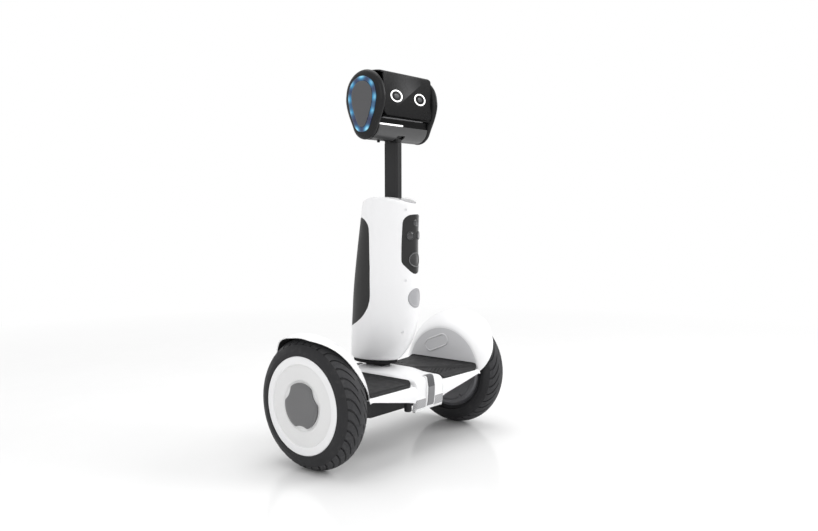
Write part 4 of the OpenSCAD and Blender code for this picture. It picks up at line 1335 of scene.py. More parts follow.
def fender_disc(s, sd):
    """Grey half-round inlay on the fender's inner wall, with a raised long-oval ridge."""
    R = 101.5
    a0 = math.asin(19 / R)
    out = [(R * math.cos(a), AXLE_Z + R * math.sin(a)) for a in [lerp(a0, pi - a0, i / 60) for i in range(61)]]
    out = [(y, z) for y, z in out]
    out = resample(ccw(out), 5.0)
    ridge_o, ridge_i = [], []

    def stadium(hw, r, n=14):
        p = []
        for k in range(n + 1):
            a = -pi / 2 + pi * k / n
            p.append((hw + r * math.cos(a), r * math.sin(a)))
        for k in range(n + 1):
            a = pi / 2 + pi * k / n
            p.append((-hw + r * math.cos(a), r * math.sin(a)))
        return p
    cy, cz, tilt = 20.0, 198.0, deg(-22)

    def place(p):
        return (cy + p[0] * math.cos(tilt) - p[1] * math.sin(tilt), cz + p[0] * math.sin(tilt) + p[1] * math.cos(tilt))
    loops = [[place(p) for p in stadium(21, r)] for r in (15.6, 14.7, 13.3, 12.4)]
    v1, f1 = fill(out, [loops[0]], 9.0)
    v2, f2 = fill(loops[3], (), 6.0)
    x0 = 188.95
    v = [(x0, y, z) for y, z in v1]
    f = [q[::-1] for q in f1]
    b = len(v)
    for lp, x in zip(loops, (x0, x0 - 0.7, x0 - 0.7, x0)):
        v += [(x, y, z) for y, z in lp]
    f += grid_faces(4, len(loops[0]), close_c=True, base=b)
    b = len(v)
    v += [(x0, y, z) for y, z in v2]
    f += [tuple(i + b for i in q[::-1]) for q in f2]
    v, f = mirror_x(v, f, s)
    make("fender_inlay_" + sd, v, f, DISC, "base", "fender_lights" if s > 0 else (), sharp=45, weld=0.01, solid=0.9, bevel=0.3, bevel_angle=60)


fender_disc(-1, "left")
fender_disc(1, "right")
# =========================================================================
# Torso
# =========================================================================
HALF_T = [(186, 44), (196, 48), (216, 52.5), (239, 56), (261, 58), (290, 58.5), (330, 58), (370, 57), (440, 55), (500, 53.3), (550, 51)]
MID_T = [(186, 48.4), (196, 43.1), (216, 33.9), (239, 26.7), (261, 21.9), (290, 17.8), (330, 15.6), (370, 13.8), (440, 9.5), (500, 3.7), (550, -1)]
FRONT_T = [(186, -15), (196, -25.3), (216, -42.3), (239, -55.4), (261, -63.6), (290, -69.9), (330, -71.7), (370, -70.9), (440, -69.4), (500, -71.2), (550, -71.3)]
BACK_T = [(186, 105.6), (216, 102.7), (261, 99.3), (290, 97.2), (330, 94.7), (370, 90.4), (440, 80.6), (500, 70.9), (550, 62)]
TN = 2.3    # squareness of the rear half
FN = 1.75   # and of the front half, which comes to a soft ridge
UK = 62.0


def tsec(z):
    return hermite(HALF_T, z), hermite(MID_T, z), hermite(FRONT_T, z), hermite(BACK_T, z)


def torso_pt(u, z, d=0.0):
    """Point of the torso surface; u in radians from the front, positive to the right; d is depth below it."""
    h, m, f, b = tsec(z)
    h, f, b = h - d, f + d, b - d
    s, c = math.sin(u), math.cos(u)
    n = FN if c > 0 else TN
    x = h * math.copysign(abs(s) ** (2 / n), s)
    y = m - (m - f if c > 0 else b - m) * math.copysign(abs(c) ** (2 / n), c)
    return (x, y, z)


def u_of_x(x, z):
    h = tsec(z)[0]
    return math.copysign(math.asin(clamp(abs(x / h), 0, 1) ** (FN / 2)), x)


def u_of_y(y, z):
    h, m, f, b = tsec(z)
    if y < m:
        return math.acos(clamp((m - y) / (m - f)) ** (FN / 2))
    return math.acos(-clamp((y - m) / (b - m)) ** (TN / 2))


def wrap_x(s, z):
    """How far across the front a distance s, measured along the skin from the ridge, reaches."""
    n = 24
    p, left = torso_pt(0.0, z), abs(s)
    u = 0.0
    while left > 0 and u < 1.5:
        u += 0.01
        q = torso_pt(u, z)
        step = math.hypot(q[0] - p[0], q[1] - p[1])
        if step >= left:
            return math.copysign(lerp(p[0], q[0], left / step), s)
        left -= step
        p = q
    return math.copysign(p[0], s)


def wrap_dom(s, z):
    return dom_x(wrap_x(s, z), z)


def oval_loop(r, z0, n=56, kx=1.0):
    """A circle of radius r drawn on the skin round the ridge."""
    return ccw([wrap_dom(r * kx * math.cos(t), z0 + r * math.sin(t)) for t in [2 * pi * q / n for q in range(n)]])


def torso_normal(u, z):
    e = 0.02
    a, b = Vector(torso_pt(u + e, z)), Vector(torso_pt(u - e, z))
    c, d = Vector(torso_pt(u, z + 0.5)), Vector(torso_pt(u, z - 0.5))
    return (a - b).cross(c - d).normalized()


def dom_x(x, z):
    """A point of the front given by (x, z), in the unrolled surface."""
    return (u_of_x(x, z) * UK, z)


def dom_y(y, z):
    return (u_of_y(y, z) * UK, z)


def skin(dom, d=0.0):
    p = torso_pt(dom[0] / UK, dom[1], d)
    return p


def top_z(y):
    return 546 - 15 * (y / 67) ** 2


PY = -6.5
RF_TOP, RF_LOW, Z_LOW = 4.6, 5.0, 187.0
NB = 160


def upper_edge(u):
    z = 540
    for _ in range(6):
        z = top_z(torso_pt(u, z)[1]) - RF_TOP
    return z


def drop(q, r):
    q = clamp(q, 0, r)
    return r - math.sqrt(max(0, r * r - (r - q) ** 2))


GRIP_FRONT = [(45, 501.3), (33, 496.5), (25.5, 491), (20.8, 485.5), (17.9, 478), (16.6, 466), (16.0, 455), (15.2, 436), (14.4, 418), (13.6, 400), (12.6, 372), (11.8, 345), (11.7, 330), (13.0, 320),
              (15.8, 312), (19.6, 304), (25, 296), (32, 287.8), (40, 280.6), (54, 271.5), (70, 264), (82, 259.5)]


def grip_loop():
    """Outline of the right-hand grip, in the unrolled surface."""
    p = [dom_y(y, z) for y, z in GRIP_FRONT]
    low = [(p[-1][0], p[-1][1])]
    ub = lambda z: (pi - math.asin(clamp(30 / tsec(z)[0]) ** (TN / 2))) * UK
    p.append((ub(256) - 8, 257.0))
    p.append((ub(262), 262))
    for z in (300, 340, 380, 420, 460, 486):
        p.append((ub(z), z))
    p.append((ub(500) - 9, 500.5))
    p.append((ub(501) - 20, 501.5))
    return ccw(resample(round_poly(p, 0.0), 4.0))


def panel_loop():
    half = [(0, 508.2), (9, 507.9), (16.5, 506.8), (21.5, 504.4), (25.6, 500.6), (28.4, 495.8), (29.4, 490), (29.9, 470), (30.4, 440), (30.8, 412), (30.4, 406.5), (28.2, 401.5), (23.6, 395.8),
            (17.5, 389.2), (12.5, 384.6), (7.5, 381.6), (0, 380.4)]
    pts = half + [(-x, z) for x, z in reversed(half[1:-1])]
    return ccw(resample([dom_x(x * 0.935, z) for x, z in pts], 3.4))


def window_plan(e):
    """Plan of the window in the torso's top, grown by e."""
    half = [(0, -65.8), (6, -65.0), (12, -62.3), (16.5, -57.6), (19, -52), (20, -45), (18, -36.5), (12, -30.5), (6, -29.2), (0, -29)]
    pts = ccw(half + [(-x, y) for x, y in reversed(half[1:-1])])
    return offset_poly(ccw(resample(round_poly(pts, 4.0, 3), 2.0)), e)


def shell_surface():
    """The whole outer skin of the torso, open where other parts sit."""
    edge = [2 * pi * i / NB - pi for i in range(NB + 1)]
    top = [(u * UK, upper_edge(u)) for u in edge]
    lowz = Z_LOW + RF_LOW
    bottom = [(u * UK, lowz) for u in edge]
    zs = [lerp(lowz, top[0][1], k / 60) for k in range(1, 60)]
    outer = bottom + [(pi * UK, z) for z in zs] + list(reversed(top)) + [(-pi * UK, z) for z in reversed(zs)]
    g = grip_loop()
    gl = ccw([(-a, b) for a, b in g])
    holes = [offset_poly(g, 0.35), offset_poly(gl, 0.35), offset_poly(panel_loop(), 0.35)]
    for sx in (-23, 23):
        for z in (518, 367, 255):
            c = dom_x(sx, z)
            holes.append([(c[0] + 2.9 * math.cos(t), c[1] + 3.1 * math.sin(t)) for t in [2 * pi * k / 20 for k in range(20)]])
    holes.append(oval_loop(21.1, 328.5))
    fv, ff = fill(outer, holes, 5.6)
    v = [skin(p) for p in fv]
    f = list(ff)
    # rolled upper edge
    b = len(v)
    rings = []
    base = [Vector(torso_pt(u, upper_edge(u))) for u in edge[:-1]]

    def inward(ring):
        o = []
        n = len(ring)
        for i in range(n):
            t = ring[(i + 1) % n] - ring[i - 1]
            o.append(Vector((-t.y, t.x, 0)).normalized())
        return o
    nin = inward(base)
    for k in range(0, 8):
        q = RF_TOP * (1 - math.cos(pi / 2 * k / 7))
        ring = []
        for p, n in zip(base, nin):
            w = p + n * q
            z = top_z(w.y) - drop(q, RF_TOP) if k else p.z
            ring.append((w.x, w.y, z))
        rings.append(ring)
    for ring in rings:
        v += ring
    f += grid_faces(len(rings), NB, close_c=True, base=b)
    out = [(p[0], p[1]) for p in rings[-1]]
    pole = rrect(-8.9, PY - 19.7, 8.9, PY + 19.7, 4.4, 5)
    win = window_plan(0.0)
    tv, tf = fill(ccw(out), [resample(pole, 3), resample(win, 3)], 6.0)
    b = len(v)
    v += [(x, y, top_z(y)) for x, y in tv]
    f += [tuple(i + b for i in q) for q in tf]
    # rolled lower edge and floor
    b = len(v)
    base = [Vector(torso_pt(u, lowz)) for u in edge[:-1]]
    nin = inward(base)
    rings = []
    for k in range(0, 7):
        t = pi / 2 * k / 6
        q = RF_LOW * (1 - math.cos(t))
        z = lowz - RF_LOW * math.sin(t)
        rings.append([((Vector(torso_pt(edge[i], max(z, Z_LOW))) + n * q).x, (Vector(torso_pt(edge[i], max(z, Z_LOW))) + n * q).y, z) for i, n in enumerate(nin)])
    for ring in rings:
        v += ring
    f += [q[::-1] for q in grid_faces(len(rings), NB, close_c=True, base=b)]
    stem = rrect(-16, 14, 16, 66, 5, 5)
    bv, bf = fill(ccw([(p[0], p[1]) for p in rings[-1]]), [resample(stem, 4)], 8.0)
    b = len(v)
    v += [(x, y, Z_LOW) for x, y in bv]
    f += [tuple(i + b for i in q[::-1]) for q in bf]
    return v, f


def torso_shells():
    v, f = shell_surface()
    me = bpy.data.meshes.new("skin")
    me.from_pydata([(a * .001, b * .001, c * .001) for a, b, c in v], [], [tuple(q) for q in f])
    for nm, node, yc, sgn in (("torso_front_cover", "torso_front_shell", 7.9, 1), ("torso_rear_cover", "torso_rear_shell", 8.02, -1)):
        bm = bmesh.new()
        bm.from_mesh(me)
        bmesh.ops.remove_doubles(bm, verts=bm.verts, dist=2e-5)
        bmesh.ops.bisect_plane(bm, geom=bm.verts[:] + bm.edges[:] + bm.faces[:], dist=1e-6, plane_co=(0, yc * .001, 0), plane_no=(0, sgn, 0), clear_outer=True)
        bmesh.ops.dissolve_degenerate(bm, dist=1e-6, edges=bm.edges[:])
        m2 = bpy.data.meshes.new(nm)
        bm.to_mesh(m2)
        bm.free()
        m2.materials.append(WHITE)
        finish_piece(nm, m2, "torso", node, sharp=40, solid=2.5, bevel=0.18, bevel_angle=50)
    bpy.data.meshes.remove(me)


torso_shells()


def skirt():
    """Soft black collar that closes the gap between the torso and the spine: partly a boot round the pivot, partly a
    dark piece standing in for the shade in that gap.
    """
    n = 96
    us = [2 * pi * i / n for i in range(n)]

    def ring(ins, z):
        o = []
        for u in us:
            x, y, _ = torso_pt(u, 188.0)
            m = math.hypot(x, y - 44) or 1
            k = (m - ins) / m
            o.append((x * k, 44 + (y - 44) * k, z))
        return o
    prof = [(9, 190.0), (6.0, 190.0), (5.4, 187.2), (6.4, 186.2), (5.6, 185.2), (5.6, 184.0), (6.6, 183.2), (5.8, 182.2), (5.8, 181.0), (6.6, 180.2), (6.8, 179.2), (8.2, 178.6), (10.5, 178.8), (10.5, 190.0)]
    v = []
    for ins, z in prof:
        v += ring(ins, z)
    f = grid_faces(len(prof), n, close_c=True, close_r=True)
    make("torso_gap_shade_skirt", v, f, SOFT, "torso", (), sharp=45, recalc=True)


skirt()


def inlay(name, loop, depth, mat, node, step=5.0, thick=2.4, holes=(), edge=0.7, rise=None, body="torso"):
    """A panel set into the torso's skin: its face follows the skin, a little below it, with rolled edges."""
    fv, ff = fill(offset_poly(loop, -edge), holes, step)
    rise = rise or (lambda p: 0.0)
    v = [skin(p, depth - rise(p)) for p in fv]
    f = list(ff)
    n = len(loop)
    b = len(v)
    rows = []
    for k in range(5):
        t = pi / 2 * k / 4
        rows.append([skin(p, depth + edge * (1 - math.cos(t))) for p in offset_poly(loop, -edge * (1 - math.sin(t)))])
    rows.append([skin(p, depth + thick) for p in loop])
    for r in rows:
        v += r
    f += [q[::-1] for q in grid_faces(len(rows), n, close_c=True, base=b)]
    b2 = len(v)
    if not holes:
        fv2, ff2 = fill(loop, (), step * 1.6)
        v += [skin(p, depth + thick) for p in fv2]
        f += [tuple(i + b2 for i in q[::-1]) for q in ff2]
    ob = make(name, v, f, mat, body, node, sharp=35, weld=0.02)
    return ob


g = offset_poly(grip_loop(), -0.3)
inlay("side_grip_right", g, 0.5, GRIP, "side_grips", 5.5, edge=1.1)
inlay("side_grip_left", ccw([(-a, b) for a, b in g]), 0.5, GRIP, (), 5.5, edge=1.1)


def front_y(x, z):
    return torso_pt(u_of_x(x, z), z)[1]


LENS_Z = 463.0


def lens_frame(s):
    """Seat of a camera lens on the slanted flank of the front: middle, outward normal and the level direction in it."""
    p = Vector(torso_pt(u_of_x(13.0 * s, LENS_Z), LENS_Z))
    n = torso_normal(u_of_x(13.0 * s, LENS_Z), LENS_Z)
    n = Vector((n.x, n.y, 0)).normalized()
    return p, n, Vector((-n.y, n.x, 0))


def panel():
    loop = offset_poly(panel_loop(), -0.3)
    holes = [oval_loop(8.3, 490, 40), oval_loop(16.7, 411, 48, 1.12)]
    for s in (-1, 1):
        p, n, t = lens_frame(s)
        holes.append(ccw([dom_x(p.x + 9.65 * math.cos(a) * t.x, LENS_Z + 9.65 * math.sin(a)) for a in [2 * pi * q / 44 for q in range(44)]]))
    inlay("front_sensor_panel", loop, 0.5, PANEL, "front_panel", 4.5, holes=holes, edge=0.9)


PANEL = plastic("panel_black_m", "#191919", 0.3, spec=0.3, var=0.05, rvar=0.2, grain=0.000006, coat=0.35, coat_rough=0.12, wear=0.1).m
PANEL_RING = plastic("panel_ring_m", "#5a5a5c", 0.35, var=0.04, grain=0.00001, coat=0.3).m
panel()


def wrapped(name, profile, z0, mat, body, node, n=96, sharp=30, kx=1.0):
    """A turned shape whose axis is the ridge of the torso: radius runs along the skin, height stands off it."""
    v, rows = [], []
    for r, hgt in profile:
        row = []
        for q in range(n if r > 0 else 1):
            t = 2 * pi * q / n
            z = z0 + r * math.sin(t)
            row.append(len(v))
            v.append(torso_pt(u_of_x(wrap_x(r * kx * math.cos(t), z), z), z, -hgt))
        rows.append(row)
    f = []
    for a, b in zip(rows, rows[1:]):
        m = max(len(a), len(b))
        for i in range(m):
            j = (i + 1) % m
            if len(a) == 1:
                f.append((a[0], b[i], b[j]))
            elif len(b) == 1:
                f.append((a[i], a[j], b[0]))
            else:
                f.append((a[i], a[j], b[j], b[i]))
    return make(name, v, f, mat, body, node, sharp=sharp, recalc=True)


def lenses():
    # the upper window lies in the skin; the pair below is domed inside thin rings
    wrapped("camera_bezel_centre", [(0, -4), (4, -4), (8.0, -4), (8.1, -0.4), (7.8, 0.1), (7.3, 0.15), (6.9, -0.1), (6.7, -0.5), (5, -0.8), (3, -0.8), (0, -0.8)], 490, GLOSS, "torso", (), 48)
    wrapped("camera_glass_centre", [(0, -3), (3, -3), (6.5, -3), (6.6, -0.5), (6.1, -0.25), (5, -0.1), (3.4, 0.0), (1.8, 0.05), (0, 0.05)], 490, LENS, "torso", "camera_lenses", 48)
    r = 9.4
    prof = [(0, -5), (r, -5), (r, 0.9), (r - 0.3, 1.35), (r - 0.9, 1.5), (r - 1.5, 1.3), (r - 1.8, 0.7), (r - 1.8, 0.4)]
    dome = [(0, -1), (r - 1.9, -1), (r - 1.9, 0.4), (r - 2.4, 0.9), (r - 3.6, 1.35), (r - 5.2, 1.65), (r - 7.2, 1.8), (0, 1.9)]
    for s, nm in ((-1, "left"), (1, "right")):
        p, n, t = lens_frame(s)
        base = tuple(p - n * 0.4)
        v, f = lathe(prof + [(0, prof[-1][1] - 0.2)], base, tuple(n), 56)
        make("camera_bezel_" + nm, v, f, BEZEL, "torso", (), sharp=30, recalc=True)
        v, f = lathe(dome, base, tuple(n), 56)
        make("camera_glass_" + nm, v, f, LENS, "torso", (), sharp=35, recalc=True)


BEZEL = plastic("lens_rim_m", "#343436", 0.3, var=0.05, grain=0.000006, coat=0.3, coat_rough=0.1).m
PANEL_DK = plastic("panel_bezel_m", "#1a1a1b", 0.22, var=0.05, grain=0.000006, coat=0.6, coat_rough=0.06).m
lenses()


def power():
    wrapped("power_button_cap", [(0, -6), (8, -6), (15.8, -6), (16.3, -5), (16.3, 0.2), (16.0, 0.6), (15.5, 0.7), (14.3, 0.7), (13.9, 0.35), (13.2, 0.1), (10, 0.0), (6, 0.0), (3, 0.0), (0, 0.0)],
            411, PANEL_DK, "button", "power_button", 72, kx=1.12)
    wrapped("power_button_ring", [(15.5, 0.2), (15.6, 1.0), (15.3, 1.35), (14.5, 1.35), (14.2, 1.05), (14.2, 0.2), (15.5, 0.2)], 411, PANEL_RING, "button", (), 72, sharp=40, kx=1.12)


power()


def badge():
    wrapped("badge_round", [(0, -3), (8, -3), (16, -3), (20.6, -3), (20.8, -2), (20.8, 0.6), (20.5, 1.1), (19.8, 1.35), (18.4, 1.45), (17.2, 1.4), (16.7, 1.1), (16.2, 0.6), (15.2, 0.45), (12, 0.6), (8, 0.75), (4, 0.85), (0, 0.85)],
            328.5, BADGE, "torso", "badge_disc", 96)


badge()


def inserts():
    parts = []
    for x in (-23, 23):
        for z in (518, 367, 255):
            u = u_of_x(x, z)
            p = Vector(torso_pt(u, z))
            n = torso_normal(u, z)
            c = p - n * 0.9
            parts.append(lathe([(2.0, -5), (3.1, -5), (3.1, 0.0), (2.9, 0.3), (2.4, 0.3), (2.1, 0.05), (2.0, -0.4), (2.0, -5)], c, n, 32))
            # threads show as fine steps in the bore
            parts.append(lathe([(2.0, -4.8), (1.8, -4.5), (2.0, -4.2), (1.8, -3.9), (2.0, -3.6), (1.8, -3.3), (2.0, -3.0), (1.8, -2.7), (2.0, -2.4), (1.8, -2.1), (2.0, -1.8), (2.04, -1.5), (2.04, -4.8), (2.0, -4.8)], c, n, 24))
            parts.append(lathe([(0, -1.9), (2.2, -1.9), (2.2, -1.3), (0, -1.3)], c, n, 24))
    v, f = join(*parts)
    make("accessory_threads", v, f, SCREW, "torso", "accessory_inserts", sharp=35, recalc=True)


SCREW = plastic("insert_plastic_m", "#e4e4e6", 0.45, var=0.05, rvar=0.1, grain=0.00001, grain_scale=2600).m
inserts()


def window():
    out = resample(window_plan(-0.35), 3.0)
    e = 0.8
    fv, ff = fill(offset_poly(ccw(out), -e), (), 4.5)
    h = lambda x, y: top_z(y) - 0.15 + 0.5 * (1 - (x / 20) ** 2)
    v = [(x, y, h(x, y)) for x, y in fv]
    f = list(ff)
    b = len(v)
    rows = []
    o = ccw(out)
    for k in range(5):
        t = pi / 2 * k / 4
        rows.append([(p[0], p[1], h(*p) - e * (1 - math.cos(t))) for p in offset_poly(o, -e * (1 - math.sin(t)))])
    rows.append([(p[0], p[1], h(*p) - 3) for p in o])
    for r in rows:
        v += r
    f += [q[::-1] for q in grid_faces(len(rows), len(o), close_c=True, base=b)]
    f.append(tuple(reversed(range(len(v) - len(o), len(v)))))
    make("top_status_window", v, f, WINDOW, "torso", "top_window", sharp=35, weld=0.02)


window()

# =========================================================================
# Neck
# =========================================================================
def pole_piece():
    hx, hy = 8.2, 19.0
    # flat-sided blade with rounded corners, a fine bead near each corner and a shallow groove down each side
    sec = ccw(round_poly([(-hx, -hy), (hx, -hy), (hx, hy), (-hx, hy)], 3.0, 6))
    pts = []
    for x, y in resample(sec, 1.2):
        if abs(abs(x) - hx) < 0.05:
            g = 0.45 * (1 - smooth((abs(abs(y) - 13.4) - 0.35) / 0.7))
            x -= math.copysign(g, x)
        if abs(abs(y) - hy) < 0.05 and abs(x) < 3.4:
            g = 0.6 * (1 - smooth((abs(x) - 1.6) / 1.2))
            y -= math.copysign(g, y)
        pts.append((x, y))
    zs = [392, 393, 420, 460, 500, 540, 545, 547, 560, 600, 630, 660, 662.4, 663.2, 663.5]
    v = []
    for z in zs:
        sc = {392: 0.95, 662.4: 1.0, 663.2: 0.99, 663.5: 0.96}.get(z, 1.0)
        v += [(x * sc, PY + y * sc, z) for x, y in pts]
    n = len(pts)
    f = grid_faces(len(zs), n, close_c=True)
    f.append(tuple(reversed(range(n))))
    f.append(tuple(range(len(v) - n, len(v))))
    make("neck_mast", v, f, POLE, "neck", "neck_pole", sharp=30, recalc=True)


pole_piece()

# =========================================================================
# Head
# =========================================================================
TZ, CZ, CHIN, CROWN = 698.5, 757.5, 33.0, 52.0


def egg(y, zl, rl, zh, rh, n=30):
    a = math.asin((rh - rl) / (zh - zl))
    p = [(y + rh * math.cos(t), zh + rh * math.sin(t)) for t in [lerp(-a, pi + a, i / n) for i in range(n + 1)]]
    q = [(y + rl * math.cos(t), zl + rl * math.sin(t)) for t in [lerp(pi + a, 2 * pi - a, i / n) for i in range(n + 1)]]
    # even points along the straight flanks
    k = 6
    mid1 = [(lerp(p[-1][0], q[0][0], j / k), lerp(p[-1][1], q[0][1], j / k)) for j in range(1, k)]
    mid2 = [(lerp(q[-1][0], p[0][0], j / k), lerp(q[-1][1], p[0][1], j / k)) for j in range(1, k)]
    return p + mid1 + q + mid2


def ear_ring(x, off):
    """Outline of the ear at distance x, drawn in by off from its widest outline. The upper round draws in
    more than the lower one, as the rim round the lamp is wider there."""
    k = off / 14.6
    return swell(egg(lerp(PY, -5.5, clamp(k)), lerp(TZ, 703, clamp(k)), CHIN + 0.6 - off * (10.6 / 14.6), CZ, CROWN + 0.6 - off), 4.0)


def swell(pts, amount):
    """Rounds the straight flanks of an egg outline outwards."""
    o = []
    for y, z in pts:
        b = math.sin(pi * clamp((z - 690) / 72)) ** 1.3
        o.append((y + amount * b * (1 if y > -6 else -1), z))
    return o


def ears():
    for s, sd in ((-1, "left"), (1, "right")):
        rows = [(80.7, 12.0), (80.75, 9.0), (81.2, 6.4), (82.0, 4.0), (83.1, 2.2), (84.4, 0.9), (85.6, 0.25), (87.0, 0.0)]
        for k in range(1, 11):
            t = pi / 2 * k / 10
            rows.append((87.0 + 9.7 * math.sin(t), 14.2 * (1 - math.cos(t)) ** 1.05))
        rows += [(96.5, 14.7), (95.4, 15.1)]
        v = []
        n = 0
        for x, off in rows:
            ring = ear_ring(x, off)
            n = len(ring)
            v += [(x, y, z) for y, z in ring]
        f = grid_faces(len(rows), n, close_c=True)
        # the seat behind the lamp ring, and the inner face
        f.append(tuple(range(len(v) - n, len(v))))
        f.append(tuple(reversed(range(n))))
        v, f = mirror_x(v, f, s)
        make("ear_housing_" + sd, v, f, HEAD, "head", "ear_pods" if s > 0 else (), sharp=32, recalc=True)
        # lamp ring
        out, inn = swell(egg(-5.5, 703, 23, CZ, 38, 40), 4.0), swell(egg(-5.5, 701, 11, CZ, 28.5, 40), 4.4)
        prof = [(0.0, 95.5), (0.0, 98.1), (0.06, 98.55), (0.16, 98.85), (0.34, 99.0), (0.66, 98.95), (0.84, 98.75), (0.94, 98.4), (1.0, 97.9), (1.0, 95.5)]
        v, glow, edge = [], [], []
        spots = spot_angles()
        for t, x in prof:
            for (ya, za), (yb, zb) in zip(out, inn):
                y, z = lerp(ya, yb, t), lerp(za, zb, t)
                v.append((x, y, z))
                g = 0.0
                for sy, sz, w in spots:
                    d2 = ((y - sy) ** 2 + (z - sz) ** 2) / (w * w)
                    g += math.exp(-d2)
                glow.append(min(1.0, g) * (1 - 0.35 * smooth((t - 0.35) / 0.5)))
                edge.append(1 - smooth((t - 0.15) / 0.4))
        n = len(out)
        f = grid_faces(len(prof), n, close_c=True, close_r=True)
        v, f = mirror_x(v, f, s)
        make("ear_lamp_" + sd, v, f, LED_BLUE, "head", "ear_lights" if s > 0 else (), sharp=50, recalc=True, attrs={"glow": glow, "rimglow": edge})
        # inner panel, gently domed
        o = swell(egg(-5.5, 701, 10.7, CZ, 28.1, 36), 4.4)
        n = len(o)
        cy, cz = -5.5, 742.0
        rows = [(0.0, 95.6), (0.0, 98.9), (0.02, 99.4), (0.055, 99.72), (0.11, 99.86), (0.25, 99.93), (0.45, 99.97), (0.65, 100.0), (0.85, 100.0)]
        v = []
        for t, x in rows:
            v += [(x, lerp(y, cy, t), lerp(z, cz, t)) for y, z in o]
        f = grid_faces(len(rows), n, close_c=True)
        f.append(tuple(range(len(v) - n, len(v))))
        f.append(tuple(reversed(range(n))))
        v, f = mirror_x(v, f, s)
        make("ear_plate_" + sd, v, f, EAR_IN, "head", "ear_panels" if s > 0 else (), sharp=28, recalc=True)


def spot_angles():
    """Middles of the nine bright spots of the ear lamp, with their reach."""
    sp = [(-5.5, CZ + 36, 9.5)]
    for y, z, w in ((25, CZ + 20, 8.0), (32, CZ - 8, 9.5), (27, CZ - 34, 8.5), (14, 686, 8.5)):
        sp.append((-5.5 + y, z, w))
        sp.append((-5.5 - y, z, w))
    return sp


ears()

# central casing: front and rear halves with a squared brow over the face plate
BROW = [(-45.4, 803.2), (-44.4, 805.3), (-42.6, 806.7), (-38, 807.8), (-28, 808.9), (-14, 809.4)]


def casing_outline():
    e = egg(PY, TZ, CHIN, CZ, CROWN, 44)
    a = math.asin((CROWN - CHIN) / (CZ - TZ))
    # rear half of the egg, from the top round the back to the bottom
    rear = [p for p in e if p[0] >= PY - 9.8]
    return e


def casing():
    a = math.asin((CROWN - CHIN) / (CZ - TZ))
    split = PY - 9.9
    # rear: from the split on top, over the back, to the split underneath
    def up(t):
        return (PY + CROWN * math.cos(t), CZ + CROWN * math.sin(t))

    def lo(t):
        return (PY + CHIN * math.cos(t), TZ + CHIN * math.sin(t))
    t_top = math.acos(-9.9 / CROWN)
    t_low = -math.acos(-9.9 / CHIN)
    rear = [(split, 809.35), (-14, 809.4)] + [up(lerp(pi / 2 * 1.04, -a, i / 34)) for i in range(35)]
    k = 6
    p, q = rear[-1], lo(-a)
    rear += [(lerp(p[0], q[0], j / k), lerp(p[1], q[1], j / k)) for j in range(1, k)]
    rear += [lo(lerp(-a, t_low, i / 20)) for i in range(21)]
    front_low = [lo(lerp(t_low, -pi - a, i / 26)) for i in range(27)]
    strip("head_casing_rear", rear, "head_rear_shell", True)
    # front: brow above the plate, then the chin barrel below the slot
    brow = [(split + 0.3, 809.3), (-22, 809.15), (-28, 808.9), (-34, 808.35), (-38, 807.8), (-41, 807.2), (-43.2, 806.3), (-44.6, 804.9), (-45.0, 803.4), (-44.4, 802.0)]
    strip("head_brow", brow, None, False)
    chin = [(p[0], p[1]) for p in front_low if p[1] < 695.4]
    chin[0] = (chin[0][0] - 0.3, chin[0][1])
    strip("head_chin_barrel", chin, "head_front_shell", False, mat=CHIN_FLOORLIT_M)


# painted light: the chin barrel is coloured lighter than the dark head shell, standing in for floor light reflected on
# it
CHIN_FLOORLIT_M = plastic("head_chin_floorlit_m", "#3a3a3b", 0.36, var=0.04, rvar=0.1, grain=0.00001, grain_scale=3000, wear=0.1, coat=0.15, coat_rough=0.2).m


def strip(name, path, node, rear, mat=None):
    """A curved band of the casing, 3 mm thick, with the turret slot where it falls."""
    xs = [-80.5, -80.1, -79.3, -77.5, -70, -58, -48, -38, -30, -20, -12.2, -12, 12, 12.2, 20, 30, 38, 48, 58, 70, 77.5, 79.3, 80.1, 80.5]
    cen = Vector((PY, 740))
    n = len(path)
    nrm = []
    for i in range(n):
        a, b = Vector(path[max(i - 1, 0)]), Vector(path[min(i + 1, n - 1)])
        t = (b - a).normalized()
        m = Vector((t.y, -t.x))
        if m.dot(Vector(path[i]) - cen) < 0:
            m = -m
        nrm.append(m)
    edge_in = {80.5: 1.6, 80.1: 0.8, 79.3: 0.2}
    v = []
    for lay in (0, 1):
        for (y, z), m in zip(path, nrm):
            for x in xs:
                d = 2.8 if lay else edge_in.get(abs(x), 0.0)
                v.append((x, y - m.x * d, z - m.y * d))
    nx = len(xs)
    slot_c = (xs.index(-12), xs.index(12))
    f = []

    def keep(i, j):
        # the turret's slot: lower part, between x -12 and 12
        if j == slot_c[0]:
            zz = (path[i][1] + path[i + 1][1]) / 2
            yy = (path[i][0] + path[i + 1][0]) / 2
            ang = math.degrees(math.atan2(zz - TZ, yy - PY)) % 360
            if zz < 700 and 222 <= ang <= 318:
                return False
        return True
    o = n * nx
    for i in range(n - 1):
        for j in range(nx - 1):
            if keep(i, j):
                a, b, c, d = i * nx + j, i * nx + j + 1, (i + 1) * nx + j + 1, (i + 1) * nx + j
                f.append((a, b, c, d))
                f.append((o + d, o + c, o + b, o + a))
    # close every open edge between the two layers
    cnt = {}
    for q in f:
        if max(q) < o:
            for a, b in zip(q, q[1:] + q[:1]):
                cnt.setdefault((min(a, b), max(a, b)), []).append((a, b))
    for k2, l in cnt.items():
        if len(l) == 1:
            a, b = l[0]
            f.append((b, a, a + o, b + o))
    ob = make(name, v, f, mat or HEAD, "head", node or (), sharp=34, recalc=True, bevel=0.5, bevel_angle=55)
    return ob


casing()


